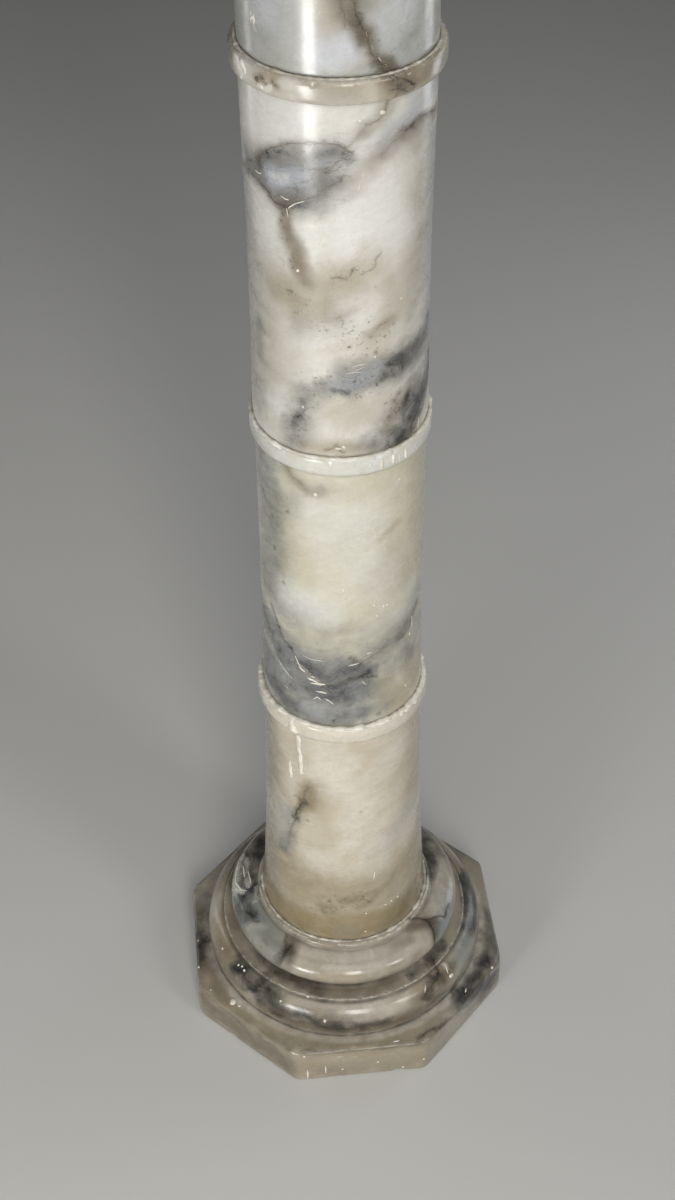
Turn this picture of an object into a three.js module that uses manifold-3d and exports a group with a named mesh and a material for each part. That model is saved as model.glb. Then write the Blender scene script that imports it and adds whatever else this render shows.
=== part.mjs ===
// A marble pedestal column. An octagonal moulded base carries four turned drums, each with a ring
// at its head, and a turned capital under an octagonal slab stands on the last one.
// Millimetres, +Z up, with the origin under the middle of the base. Flats of the octagons face
// +X, -X, +Y and -Y.

import * as THREE from "three";
import { mergeVertices } from "three/addons/utils/BufferGeometryUtils.js";
import Module from "manifold-3d";

// Overall heights, from the floor up
const plinthHeight = 38;
const baseTop = 106;
const drumTops = [361, 619, 888.5, 1150];
const slabBottom = 1204;
const columnHeight = 1228;

// Octagonal slabs
const plinthAcrossFlats = 270;
const slabAcrossFlats = 236;
const arris = 1.2;

// Mouldings of the base: radii and heights of the turned profile
const lowerTorus = { centreRadius: 107, centreHeight: 49.8, bulge: 14.8, halfHeight: 19.5 };
const stepRadius = 107.2;
const stepHeight = 71.4;
const upperTorus = { centreRadius: 88, centreHeight: 87, bulge: 11.7, halfHeight: 11 };
const collarRadius = 76.3;
const collarHeight = 100.5;

// Drums: radius at the foot, at the waist and under the ring, and the ring's own radius
const drums = [
  { foot: 70.6, waist: 62.3, waistShare: 0.82, head: 62.4, ring: 66.4 },
  { foot: 61.9, waist: 59.8, waistShare: 0.77, head: 59.9, ring: 63.2 },
  { foot: 61.0, waist: 59.1, waistShare: 0.43, head: 60.2, ring: 65.3 },
  { foot: 60.3, waist: 59.0, waistShare: 0.45, head: 59.9, ring: 64.9 },
];
const flarePower = 1.7;
const ringHeight = 14.5;
const ringRounding = 1.6;

// Capital
const neckRadius = 65.5;
const neckHeight = 6;
const bellFoot = 61;
const bellHead = 87;
const bellHeight = 25;
const echinus = { centreRadius: 90.5, bulge: 10.5, halfHeight: 9.5 };

// Fineness and fit
const turnedFacets = 48;
const torusSteps = 7;
const bellSteps = 4;
const drumSteps = 6;
const jointGap = 0.3;

const wasm = await Module();
wasm.setup();

// Points of a rounded moulding, between two angles measured up from the horizontal
function roll({ centreRadius, centreHeight, bulge, halfHeight }, fromDegrees, toDegrees) {
  const from = THREE.MathUtils.degToRad(fromDegrees);
  const to = THREE.MathUtils.degToRad(toDegrees);
  const curve = new THREE.EllipseCurve(centreRadius, centreHeight, bulge, halfHeight, from, to);
  return curve.getPoints(torusSteps);
}

// A solid of revolution about the vertical axis, closed on the axis at both ends
function turned(outline) {
  const first = outline[0];
  const last = outline[outline.length - 1];
  const profile = [new THREE.Vector2(0, first.y), ...outline, new THREE.Vector2(0, last.y)];
  const geometry = new THREE.LatheGeometry(profile, turnedFacets);
  geometry.rotateX(Math.PI / 2);
  return geometry;
}

// An octagonal slab with small chamfers along its edges, standing on the height given
function octagonalSlab(acrossFlats, bottom, top) {
  const cornerRadius = acrossFlats / 2 / Math.cos(Math.PI / 8);
  const corners = [];
  for (let side = 0; side < 8; side += 1) {
    const angle = Math.PI / 8 + (side * Math.PI) / 4;
    corners.push(new THREE.Vector2(cornerRadius * Math.cos(angle), cornerRadius * Math.sin(angle)));
  }
  const geometry = new THREE.ExtrudeGeometry(new THREE.Shape(corners), {
    depth: top - bottom - 2 * arris,
    bevelThickness: arris,
    bevelSize: arris,
    bevelOffset: -arris,
    bevelSegments: 1,
  });
  geometry.translate(0, 0, bottom + arris);
  return geometry;
}

// A geometry as a closed solid: shared corners merged and the flat triangles at the axis dropped
function asSolid(geometry) {
  geometry.deleteAttribute("normal");
  geometry.deleteAttribute("uv");
  const merged = mergeVertices(geometry, 1e-3);
  const corners = merged.index.array;
  const triangles = [];
  for (let at = 0; at < corners.length; at += 3) {
    const [a, b, c] = corners.slice(at, at + 3);
    if (a !== b && b !== c && c !== a) {
      triangles.push(a, b, c);
    }
  }
  return new wasm.Manifold(new wasm.Mesh({
    numProp: 3,
    vertProperties: new Float32Array(merged.attributes.position.array),
    triVerts: new Uint32Array(triangles),
  }));
}

// Two overlapping geometries made one
function joined(first, second) {
  const mesh = asSolid(first).add(asSolid(second)).getMesh();
  const geometry = new THREE.BufferGeometry();
  geometry.setAttribute("position", new THREE.BufferAttribute(mesh.vertProperties, 3));
  geometry.setIndex(new THREE.BufferAttribute(mesh.triVerts, 1));
  geometry.computeVertexNormals();
  return geometry;
}

function polishedMarble(colour) {
  return new THREE.MeshStandardMaterial({ color: colour, roughness: 0.25, metalness: 0 });
}

function piece(name, geometry, colour, bottom) {
  const mesh = new THREE.Mesh(geometry, polishedMarble(colour));
  mesh.name = name;
  mesh.position.z = bottom;
  return mesh;
}

// Base: plinth, lower torus, step, upper torus and collar, cut from one block
function baseGeometry() {
  const torusFromInsidePlinth = roll(lowerTorus, -42, 88);
  const outline = [
    new THREE.Vector2(torusFromInsidePlinth[0].x, plinthHeight / 2),
    ...torusFromInsidePlinth,
    new THREE.Vector2(stepRadius, stepHeight - 2),
    new THREE.Vector2(stepRadius, stepHeight),
    ...roll(upperTorus, -75, 90),
    new THREE.Vector2(collarRadius, collarHeight),
    new THREE.Vector2(collarRadius - 1, baseTop - jointGap / 2),
  ];
  return joined(octagonalSlab(plinthAcrossFlats, 0, plinthHeight), turned(outline));
}

// Drum: flared to its foot, slightly waisted, with a flat-bottomed ring at its head
function drumGeometry({ foot, waist, waistShare, head, ring }, length) {
  const ringBottom = length - ringHeight;
  const waistHeight = waistShare * length;
  const outline = [];
  for (let step = 0; step <= drumSteps; step += 1) {
    const height = (ringBottom * step) / drumSteps;
    const end = height < waistHeight ? foot : head;
    const reach = height < waistHeight ? waistHeight : ringBottom - waistHeight;
    const share = Math.abs(height - waistHeight) / reach;
    outline.push(new THREE.Vector2(waist + (end - waist) * share ** flarePower, height));
  }
  outline.push(new THREE.Vector2(ring - ringRounding, ringBottom));
  outline.push(new THREE.Vector2(ring, ringBottom + ringRounding));
  outline.push(new THREE.Vector2(ring, length - ringRounding));
  outline.push(new THREE.Vector2(ring - ringRounding, length));
  return turned(outline);
}

// Capital: neck fillet, hollow bell, echinus and octagonal slab, cut from one block
function capitalGeometry(bottom) {
  const bellBottom = neckHeight;
  const bell = new THREE.EllipseCurve(
    bellHead,
    bellBottom,
    bellHead - bellFoot,
    bellHeight,
    Math.PI,
    Math.PI / 2,
    true,
  );
  const slabSeat = slabBottom - bottom;
  const echinusFoot = slabSeat - 2 * echinus.halfHeight;
  const outline = [
    new THREE.Vector2(neckRadius - ringRounding, 0),
    new THREE.Vector2(neckRadius, ringRounding),
    new THREE.Vector2(neckRadius, neckHeight),
    ...bell.getPoints(bellSteps),
    new THREE.Vector2(echinus.centreRadius, bellBottom + bellHeight),
    ...roll({ ...echinus, centreHeight: echinusFoot + echinus.halfHeight }, -75, 85),
    new THREE.Vector2(echinus.centreRadius, slabSeat + arris * 2),
  ];
  return joined(turned(outline), octagonalSlab(slabAcrossFlats, slabSeat, columnHeight - bottom));
}

const column = new THREE.Group();
const drumColours = ["#cfc7b2", "#a7a69c", "#c2beae", "#b7b6ad"];

column.add(piece("base", baseGeometry(), "#a39c8b", 0));

drums.forEach((drum, index) => {
  const below = index === 0 ? baseTop : drumTops[index - 1];
  const bottom = below + jointGap / 2;
  const length = drumTops[index] - jointGap / 2 - bottom;
  const geometry = drumGeometry(drum, length);
  column.add(piece(`shaft_drum_${index + 1}`, geometry, drumColours[index], bottom));
});

const capitalBottom = drumTops[drumTops.length - 1] + jointGap / 2;
column.add(piece("capital", capitalGeometry(capitalBottom), "#c5c0b1", capitalBottom));

export default column;
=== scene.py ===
# A pedestal column of turned and carved marble: an octagonal moulded base, four ringed drums bedded
# on each other in white cement, and a capital under an octagonal slab.
# Sizes and places are in millimetres; a turn is in degrees round the column from its front (-Y),
# positive towards +X.
import math
import random

import bpy
import numpy as np
from mathutils import Matrix, Vector, noise
from mathutils.bvhtree import BVHTree


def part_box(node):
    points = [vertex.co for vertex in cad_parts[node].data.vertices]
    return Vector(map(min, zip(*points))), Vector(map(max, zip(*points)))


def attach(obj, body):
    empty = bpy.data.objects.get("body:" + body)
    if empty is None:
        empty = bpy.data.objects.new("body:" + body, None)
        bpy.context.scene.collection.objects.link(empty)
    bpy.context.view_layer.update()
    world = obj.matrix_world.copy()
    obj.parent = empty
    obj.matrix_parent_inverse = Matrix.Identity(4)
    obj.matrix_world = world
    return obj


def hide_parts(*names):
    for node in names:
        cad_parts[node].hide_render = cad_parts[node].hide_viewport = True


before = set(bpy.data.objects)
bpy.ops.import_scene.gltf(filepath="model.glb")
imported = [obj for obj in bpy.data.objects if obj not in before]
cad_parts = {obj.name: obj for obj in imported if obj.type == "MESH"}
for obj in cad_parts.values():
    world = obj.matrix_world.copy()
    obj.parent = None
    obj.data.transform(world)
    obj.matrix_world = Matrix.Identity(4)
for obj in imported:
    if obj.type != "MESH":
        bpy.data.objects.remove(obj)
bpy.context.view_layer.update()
MM = 0.001

# Camera: held by a standing person, looking down on the column from in front
CAMERA_PLACE = (-105.5, -995.1, 1353.1)
CAMERA_PITCH = 42.52
CAMERA_YAW = 5.87
CAMERA_ROLL = -0.52
CAMERA_LENS = 53.71
CAMERA_SENSOR = 36
CAMERA_NEAR = 50


def across(node):
    """The width of a CAD node, to a tenth of a millimetre."""
    low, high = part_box(node)
    return round((high.x - low.x) / MM, 1)


# Heights and widths, from the frame where it gives them
PLINTH_TOP = 38
BASE_TOP = 106
BASE_ACROSS = across("base")
DRUM_FEET = [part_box(f"shaft_drum_{number}")[0].z / MM for number in (1, 2, 3, 4)]
DRUM_HEADS = [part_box(f"shaft_drum_{number}")[1].z / MM for number in (1, 2, 3, 4)]
CAPITAL_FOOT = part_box("capital")[0].z / MM
COLUMN_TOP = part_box("capital")[1].z / MM
SLAB_ACROSS = across("capital")
SLAB_THICK = 24

# Turned mouldings of the base and the capital
GROOVE_RADIUS = 119.4
LOWER_TORUS = {"centre": (107, 49.8), "bulge": 14.8, "half_height": 19.5}
UPPER_TORUS = {"centre": (88, 87), "bulge": 11.7, "half_height": 11}
ECHINUS = {"centre": (90.5, COLUMN_TOP - SLAB_THICK - 9.5), "bulge": 10.5, "half_height": 9.5}

# Drums: radius at the foot, the waist and under the ring, the ring's radius, and its seat's
DRUMS = [
    {"foot": 70.6, "waist": 62.3, "waist_share": 0.82, "head": 62.4, "ring": 66.4, "seat": 62.1},
    {"foot": 61.8, "waist": 59.8, "waist_share": 0.77, "head": 59.9, "ring": 63.2, "seat": 61.2},
    {"foot": 60.9, "waist": 59.1, "waist_share": 0.43, "head": 60.2, "ring": 65.3, "seat": 60.5},
    {"foot": 60.2, "waist": 59.0, "waist_share": 0.45, "head": 59.9, "ring": 64.9, "seat": 60.8},
]
FLARE_POWER = 1.7
RING_HEIGHT = 14.5

# Fineness: the spacing of the rows up a piece, the rows from its axis to its edge, and the steps round
MESH_STEP = 1.15
CAPITAL_STEP = 1.6
HIDDEN_ROWS = 6
BASE_FACETS = 400
DRUM_FACETS = 360
TOP_DRUM_FACETS = 304
CAPITAL_FACETS = 320
BEAD_FACETS = 360
BEAD_SIDES = 10

# How crisp the corners of the octagons are
CORNER_SHARPNESS = 110

# Wear: how far a turned surface wavers and in what lumps, the nicks in an arris, and its wear all along
BASE_WAVER = 0.25
DRUM_WAVER = 0.22
SLOW_LUMPS = 70
MIDDLING_LUMPS = 22
NICK_SIZE = 5
NICKED_STRETCH = 30
ARRIS_REACH = 3.2
NICK_DEPTH = 0.9
ARRIS_DEPTH = 0.12

# Marks: lumps that bend their paths, how far clouds and veins are bent, and how ragged each tone is
DRIFT_LUMPS = 17
FINE_LUMPS = 6
CLOUD_BEND = (3.2, 1.3)
VEIN_BEND = (0.9, 0.5)
TONES = ("tan", "grey", "blue", "white", "brown", "dark")
RAGGED = {"tan": 0.5, "grey": 0.8, "blue": 0.6, "white": 0.6, "brown": 0.6, "dark": 1.0}
NO_VEIN = 60
VEIN_END = 1.5

# Cement: how proud of the stone a pressed skin stands, the steps and jitter of a run, and about where
# the drums' surfaces are
CEMENT_SKIN = 0.14
NEAR_DRUM = 64
RUN_STEP = 2.2
RUN_JITTER = 0.12


# Reading and moving vertices

def places_of(piece):
    """The piece's vertices in millimetres, one row each."""
    flat = np.empty(len(piece.data.vertices) * 3, np.float32)
    piece.data.vertices.foreach_get("co", flat)
    return flat.reshape(-1, 3).astype(float) / MM


def move_to(piece, places):
    """Writes moved vertices back."""
    piece.data.vertices.foreach_set("co", (places * MM).astype(np.float32).ravel())
    piece.data.update()


def facing_of(piece):
    """The outward direction at each vertex."""
    flat = np.empty(len(piece.data.vertices) * 3, np.float32)
    piece.data.vertex_normals.foreach_get("vector", flat)
    return flat.reshape(-1, 3).astype(float)


def write_attribute(piece, name, values):
    """Gives each vertex a number that a material can read."""
    layer = piece.data.attributes.new(name, "FLOAT", "POINT")
    layer.data.foreach_set("value", values.astype(np.float32))


def on_round(turn, radius, height):
    """The place at a turn, a radius and a height."""
    angle = math.radians(turn)
    return np.array([radius * math.sin(angle), -radius * math.cos(angle), height])


def ripple(places, size, seed=0):
    """Smooth noise from -1 to 1 whose lumps are about the given size."""
    shift = 37.7 * seed
    return np.array([noise.noise((x / size + shift, y / size, z / size)) for x, y, z in places])


def fade(value, start, end):
    """0 at start, 1 at end, and smooth between; start may be the larger."""
    share = np.clip((value - start) / (end - start), 0, 1)
    return share * share * (3 - 2 * share)


# Outlines

def roll(centre, bulge, half_height, start, end, count=16):
    """A rounded moulding's points, between two angles measured up from the horizontal."""
    angles = [math.radians(start + (end - start) * i / count) for i in range(count + 1)]
    return [(centre[0] + bulge * math.cos(a), centre[1] + half_height * math.sin(a)) for a in angles]


def eased(flat, height, way):
    """A slab's rounded arris, from its underside up (way 1) or from its top down (way -1)."""
    return [(flat - 0.9, height + 0.25 * way), (flat - 0.2, height + way), (flat, height + 2.2 * way)]


def ring_outline(top, ring, under, seat):
    """A carved ring: a band with a flat underside, a slightly rounded face and worn arrises."""
    bottom = top - RING_HEIGHT
    return [
        (under, bottom - 0.4), (ring - 1.6, bottom), (ring - 0.5, bottom + 0.8),
        (ring, bottom + 2.5), (ring + 0.1, bottom + RING_HEIGHT / 2), (ring - 0.1, top - 2.5),
        (ring - 0.7, top - 0.9), (ring - 1.8, top - 0.2), (seat, top),
    ]


def drum_outline(number, steps=24):
    """A drum's outline from the axis at its foot to the axis at its head."""
    shape = DRUMS[number - 1]
    foot, head = DRUM_FEET[number - 1], DRUM_HEADS[number - 1]
    length = head - foot
    ring_bottom = length - RING_HEIGHT
    waist = shape["waist_share"] * length
    points = [(0, foot), (shape["foot"] - 1.2, foot), (shape["foot"] - 0.3, foot + 0.5)]
    for step in range(1, steps):
        height = ring_bottom * step / steps
        end, reach = (shape["foot"], waist) if height < waist else (shape["head"], ring_bottom - waist)
        radius = shape["waist"] + (end - shape["waist"]) * (abs(height - waist) / reach) ** FLARE_POWER
        points.append((radius, foot + height))
    points += ring_outline(head, shape["ring"], shape["head"], shape["seat"])
    return points + [(0, head)]


def base_outline():
    """The base's outline; the plinth's rows are squared up to the octagon afterwards."""
    flat = BASE_ACROSS / 2
    top = BASE_TOP - 0.3
    return [
        (0, 0), (flat - 3, 0), *eased(flat, 0, 1), (flat, PLINTH_TOP - 3.6),
        (flat - 0.35, PLINTH_TOP - 1.8), (flat - 1.3, PLINTH_TOP - 0.55), (flat - 3.2, PLINTH_TOP),
        (GROOVE_RADIUS + 0.8, PLINTH_TOP), (GROOVE_RADIUS, PLINTH_TOP - 0.6),
        *roll(**LOWER_TORUS, start=-37, end=88), (107.3, 69.6), (107.2, 71.2), (106.2, 71.6),
        (103, 71.8), (97, 73), (92, 75.5), *roll(**UPPER_TORUS, start=-75, end=90),
        (76.5, 100.5), (75.5, 104.5), (73.5, top), (0, top),
    ]


def capital_outline():
    """The capital's outline: neck fillet, hollow bell, echinus and slab."""
    flat = SLAB_ACROSS / 2
    foot, neck, bell = CAPITAL_FOOT, 6, 25
    slab = COLUMN_TOP - SLAB_THICK
    hollow = [math.radians(90 * i / 12) for i in range(13)]
    return [
        (0, foot), (64.3, foot), (65.3, foot + 1), (65.5, foot + neck / 2), (65.2, foot + neck - 1),
        (64.2, foot + neck),
        *[(87 - 26 * math.cos(a), foot + neck + bell * math.sin(a)) for a in hollow],
        (89.5, foot + neck + bell + 0.4), *roll(**ECHINUS, start=-80, end=80), (91, slab - 0.2),
        (flat - 2.4, slab), *eased(flat, slab, 1), *reversed(eased(flat, COLUMN_TOP, -1)),
        (flat - 2.4, COLUMN_TOP), (0, COLUMN_TOP),
    ]


def even_steps(outline, step):
    """The same outline with points at most a step apart, except where it runs to the axis."""
    points = [outline[0]]
    for (r0, z0), (r1, z1) in zip(outline, outline[1:]):
        hidden = min(r0, r1) == 0
        count = HIDDEN_ROWS if hidden else max(1, math.ceil(math.hypot(r1 - r0, z1 - z0) / step))
        points += [(r0 + (r1 - r0) * i / count, z0 + (z1 - z0) * i / count)
                   for i in range(1, count + 1)]
    return points


# Turning and squaring

def drawn_line(points):
    """A line through the points, extruded from a single vertex and left open in edit mode."""
    bpy.ops.object.select_all(action="DESELECT")
    bpy.ops.mesh.primitive_plane_add(size=MM, location=(0, 0, 0))
    line = bpy.context.object
    bpy.ops.object.mode_set(mode="EDIT")
    bpy.ops.mesh.select_all(action="SELECT")
    bpy.ops.mesh.merge(type="CENTER")
    bpy.ops.transform.translate(value=points[0] * MM)
    for start, end in zip(points, points[1:]):
        bpy.ops.mesh.extrude_vertices_move(TRANSFORM_OT_translate={"value": (end - start) * MM})
    return line


def turned(name, outline, facets):
    """Turns an outline about the column's axis: it is spun through an eighth of a turn, and the
    eighth is copied round."""
    piece = drawn_line([on_round(0, radius, height) for radius, height in outline])
    piece.name = piece.data.name = name
    bpy.ops.mesh.select_all(action="SELECT")
    bpy.ops.mesh.spin(steps=facets // 8, angle=math.tau / 8, center=(0, 0, 0), axis=(0, 0, 1))
    for part in (8, 4, 2):
        bpy.ops.mesh.select_all(action="SELECT")
        bpy.ops.mesh.duplicate()
        bpy.ops.transform.rotate(value=math.tau / part, orient_axis="Z", center_override=(0, 0, 0))
    closed_and_smooth(0.01)
    return piece


def closed_and_smooth(merge_distance):
    """Merges the active piece's doubled vertices, turns its faces outwards and shades it smooth."""
    bpy.ops.object.mode_set(mode="EDIT")
    bpy.ops.mesh.select_all(action="SELECT")
    bpy.ops.mesh.remove_doubles(threshold=merge_distance * MM)
    bpy.ops.mesh.normals_make_consistent(inside=False)
    bpy.ops.object.mode_set(mode="OBJECT")
    bpy.ops.object.shade_smooth()


def squared(piece, inner, outer, low, high):
    """Squares the rows between two heights up to an octagon, from a circle inside it."""
    places = places_of(piece)
    radius = np.hypot(places[:, 0], places[:, 1])
    angle = np.arctan2(places[:, 1], places[:, 0])
    reach = np.zeros(len(places))
    for side in range(8):
        reach += np.maximum(np.cos(angle - side * math.pi / 4), 0) ** CORNER_SHARPNESS
    stretch = reach ** (-1 / CORNER_SHARPNESS)
    share = np.clip((radius - inner) / (outer - inner), 0, 1)
    chosen = (places[:, 2] > low) & (places[:, 2] < high)
    factor = np.where(chosen, 1 + (stretch - 1) * share, 1)
    places[:, :2] *= factor[:, None]
    move_to(piece, places)


# Hand-made relief

def wear(piece, waver, arrises, seed):
    """Makes a turned piece look hand-turned and used: it wavers a little, and arrises are nicked."""
    places, facing = places_of(piece), facing_of(piece)
    slow = ripple(places, SLOW_LUMPS, seed)
    middling = ripple(places, MIDDLING_LUMPS, seed + 1)
    places += facing * (waver * (0.7 * slow + 0.3 * middling))[:, None]
    radius = np.hypot(places[:, 0], places[:, 1])
    edge = np.zeros(len(places))
    for arris_radius, arris_height in arrises:
        gap = np.hypot(radius - arris_radius, places[:, 2] - arris_height)
        edge = np.maximum(edge, fade(gap, ARRIS_REACH, 0.4))
    nicks = fade(ripple(places, NICK_SIZE, seed + 2), 0.28, 0.62)
    nicks *= fade(ripple(places, NICKED_STRETCH, seed + 3), -0.1, 0.3)
    places -= facing * (edge * (NICK_DEPTH * nicks + ARRIS_DEPTH))[:, None]
    move_to(piece, places)


def chip(piece, spots):
    """Breaks chips out of a piece: (turn, distance from the axis, height, reach, depth)."""
    places, facing = places_of(piece), facing_of(piece)
    for turn, distance, height, reach, depth in spots:
        gap = np.linalg.norm(places - on_round(turn, distance, height), axis=1)
        gap += 0.25 * reach * ripple(places, reach * 0.7, 5)
        places -= facing * (depth * fade(gap, reach, reach * 0.35))[:, None]
    move_to(piece, places)


# Marks in the stone: each is (tone, half width, strength, path)

def distance_to(places, path, facing):
    """Distance from each place to a path over the stone, and how far to its left or right it lies."""
    points = path if len(path) > 1 else path * 2
    nearest = np.full(len(places), 1e9)
    beside = np.full(len(places), 1e9)
    for start, end in zip(points, points[1:]):
        along = end - start
        length = max(float(np.linalg.norm(along)), 1e-6)
        share = np.clip(((places - start) @ along) / length ** 2, 0, 1)
        gap = np.linalg.norm(places - (start + share[:, None] * along), axis=1)
        across_it = np.sum(np.cross(places - start, along) * facing, axis=1) / length
        beside = np.where(gap < nearest, gap if len(path) == 1 else across_it, beside)
        nearest = np.minimum(nearest, gap)
    return nearest, beside


def lay_marks(piece, marks, seed, bands=(), rounds=()):
    """Writes the marks into the piece as attributes that its material reads. A band tints everything
    between two heights; a round is a line right round the piece: (tone, radius, height, reach, amount)."""
    places, facing = places_of(piece), facing_of(piece)
    drift = np.stack([ripple(places, DRIFT_LUMPS, seed + k) for k in (10, 11, 12)], axis=1)
    fine = np.stack([ripple(places, FINE_LUMPS, seed + k) for k in (13, 14, 15)], axis=1)
    bent = places + CLOUD_BEND[0] * drift + CLOUD_BEND[1] * fine
    nearly = places + VEIN_BEND[0] * drift + VEIN_BEND[1] * fine
    weights = {tone: np.zeros(len(places)) for tone in (*TONES, "chalk_and_sheen", "pepper")}
    gap = np.full(len(places), float(NO_VEIN))
    side = np.full(len(places), float(NO_VEIN))
    half = np.ones(len(places))
    strength = np.zeros(len(places))
    for tone, half_width, amount, path in marks:
        if tone == "vein":
            away, beside = distance_to(nearly, path, facing)
            closer = away / half_width < gap / half
            gap, half = np.where(closer, away, gap), np.where(closer, half_width, half)
            side, strength = np.where(closer, beside, side), np.where(closer, amount, strength)
        else:
            away, _ = distance_to(bent, path, facing)
            soft = amount * fade(away, 2.1 * half_width, 0.2 * half_width)
            weights[tone] = np.maximum(weights[tone], soft)
    height = places[:, 2]
    for tone, amount, low, high in bands:
        within = fade(height, low - 0.5, low + 0.5) * fade(height, high + 0.5, high - 0.5)
        weights[tone] = np.maximum(weights[tone], amount * within * (0.85 + 0.4 * drift[:, 0]))
    radius = np.hypot(places[:, 0], places[:, 1])
    for tone, round_radius, round_height, reach, amount in rounds:
        line = fade(np.hypot(radius - round_radius, height - round_height), reach, 0.25 * reach)
        uneven = amount * line * (0.8 + 0.6 * fine[:, 0] + 0.4 * drift[:, 1])
        weights[tone] = np.maximum(weights[tone], uneven)
    written = {tone: np.clip(weight, 0, 1) for tone, weight in weights.items()}
    written |= {"vein_reach": gap - VEIN_END, "vein_side": side, "vein_half": half,
                "vein_strength": strength}
    for name, values in written.items():
        write_attribute(piece, name, values)


def lay_grime_and_shade(piece, grooves, seed, edges=()):
    """Old dirt and wax in the grooves, and painted shade where a line stands for shade: (radius, height,
    reach, amount); and on the octagon's arrises, with the distance from the axis to the flat instead of the
    radius."""
    places = places_of(piece)
    radius = np.hypot(places[:, 0], places[:, 1])
    sides = [math.radians(45 * side) for side in range(8)]
    flat = np.max([places[:, 0] * math.cos(a) + places[:, 1] * math.sin(a) for a in sides], axis=0)
    dirt_and_shade = np.zeros(len(places))
    patchy = 0.75 + 0.45 * ripple(places, 14, seed)
    lines = [(radius, *groove) for groove in grooves] + [(flat, *edge) for edge in edges]
    for away, line_radius, line_height, reach, amount in lines:
        gap = np.hypot(away - line_radius, places[:, 2] - line_height)
        dirt_and_shade = np.maximum(dirt_and_shade, amount * patchy * fade(gap, reach, 0.3))
    write_attribute(piece, "grime_and_shade", np.clip(dirt_and_shade, 0, 1))


def drum_radius(number, height):
    """The radius of a drum's surface at a height."""
    radii, heights = zip(*drum_outline(number)[2:-2])
    return float(np.interp(height, heights, radii))


def on_drum(number, marks):
    """Drum marks are given as (turn, height): this puts them on the drum's surface."""
    return [(tone, half, amount, [on_round(turn, drum_radius(number, height), height)
                                  for turn, height in path]) for tone, half, amount, path in marks]


def in_space(marks):
    """Marks of the base and the capital are given as (turn, radius, height)."""
    return [(tone, half, amount, [on_round(*spot) for spot in path])
            for tone, half, amount, path in marks]


def far_side(seed, low, high, veins=6, clouds=9):
    """Marks for the sides that the photograph doesn't show, plainer than the front's."""
    chance = random.Random(seed)
    marks = []
    for number in range(veins + clouds):
        turn, height = chance.uniform(112, 250), chance.uniform(low, high)
        lean, rise = chance.choice((-1, 1)) * chance.uniform(7, 13), chance.uniform(-11, 11)
        path = []
        for _ in range(5):
            path.append((turn, min(max(height, low), high)))
            turn += lean + chance.uniform(-3, 3)
            height += rise + chance.uniform(-5, 5)
        if number < veins:
            marks.append(("brown", chance.uniform(2.5, 5), chance.uniform(0.3, 0.6), path))
            marks.append(("vein", chance.uniform(0.7, 1.3), chance.uniform(0.5, 0.9), path))
        else:
            tone = chance.choice(("tan", "grey", "white", "blue"))
            marks.append((tone, chance.uniform(8, 20), chance.uniform(0.35, 0.65), path))
    return marks


def all_round(height):
    """A path right round the column at one height."""
    return [(turn, height) for turn in range(-180, 181, 20)]


def specks(half_width, strength, spots):
    """Single dark specks."""
    return [("vein", half_width, strength, [spot]) for spot in spots]


# Marks of the drums, from the top one down: their paths are of (turn, height)
DRUM_4_MARKS = [
    ("brown", 9, 0.9, [(-14, 985), (-9, 962), (-2, 940), (1, 930)]),
    ("brown", 5.5, 0.95, [(1, 930), (5, 919), (9, 911)]),
    ("brown", 4.5, 0.9, [(9, 911), (13, 904), (17, 896), (23, 890)]),
    ("vein", 1.2, 0.65, [(-6, 975), (1, 945), (4, 929), (6, 919), (10, 911), (12, 902), (17, 896),
        (22, 891)]),
    ("vein", 1.0, 0.3, [(-16, 975), (-8, 945), (-4, 930), (-2, 920)]),
    ("pepper", 5, 0.7, [(-4, 960), (3, 935), (9, 911), (20, 893)]),
    ("dark", 3.5, 0.5, [(5, 925), (9, 911)]),
    ("dark", 4, 0.6, [(15, 895), (24, 890)]),
    ("tan", 8, 0.6, [(-16, 940), (-9, 921), (-5, 908), (2, 900)]),
    ("tan", 9, 0.5, [(64, 896), (60, 925)]),
    ("tan", 16, 0.45, [(35, 960), (20, 990), (25, 1020)]),
    ("blue", 9, 1.0, [(-3, 907), (-13, 902)]),
    # Painted shade: a blue-grey band down the right side, partly the stone's tone and partly shade where the
    # drum turns from the light
    ("blue", 10, 0.5, [(76, 895), (78, 950), (78, 1000)]),
    ("blue", 10, 0.5, [(24, 915), (34, 925), (38, 950)]),
    ("grey", 16, 0.5, [(28, 902), (44, 912), (56, 905)]),
    ("blue", 12, 0.6, [(-50, 925), (-40, 950)]),
    # Painted shade: a faint grey band down the left side, partly the stone's grey and partly shade where the
    # drum turns from the light
    ("grey", 20, 0.3, [(-75, 900), (-60, 930), (-70, 970), (-60, 1010)]),
    ("white", 20, 0.5, [(-20, 1040), (0, 1060), (15, 1090)]),
    ("vein", 1.2, 0.55, [(60, 975), (50, 1000), (52, 1030), (40, 1052)]),
    ("vein", 1.1, 0.5, [(-60, 1080), (-45, 1092), (-30, 1090), (-20, 1104)]),
    ("grey", 16, 0.4, [(-30, 1110), (0, 1115), (30, 1100)]),
    ("chalk_and_sheen", 1.3, 0.9, [(-61, 915), (-58, 908)]),
]
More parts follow.
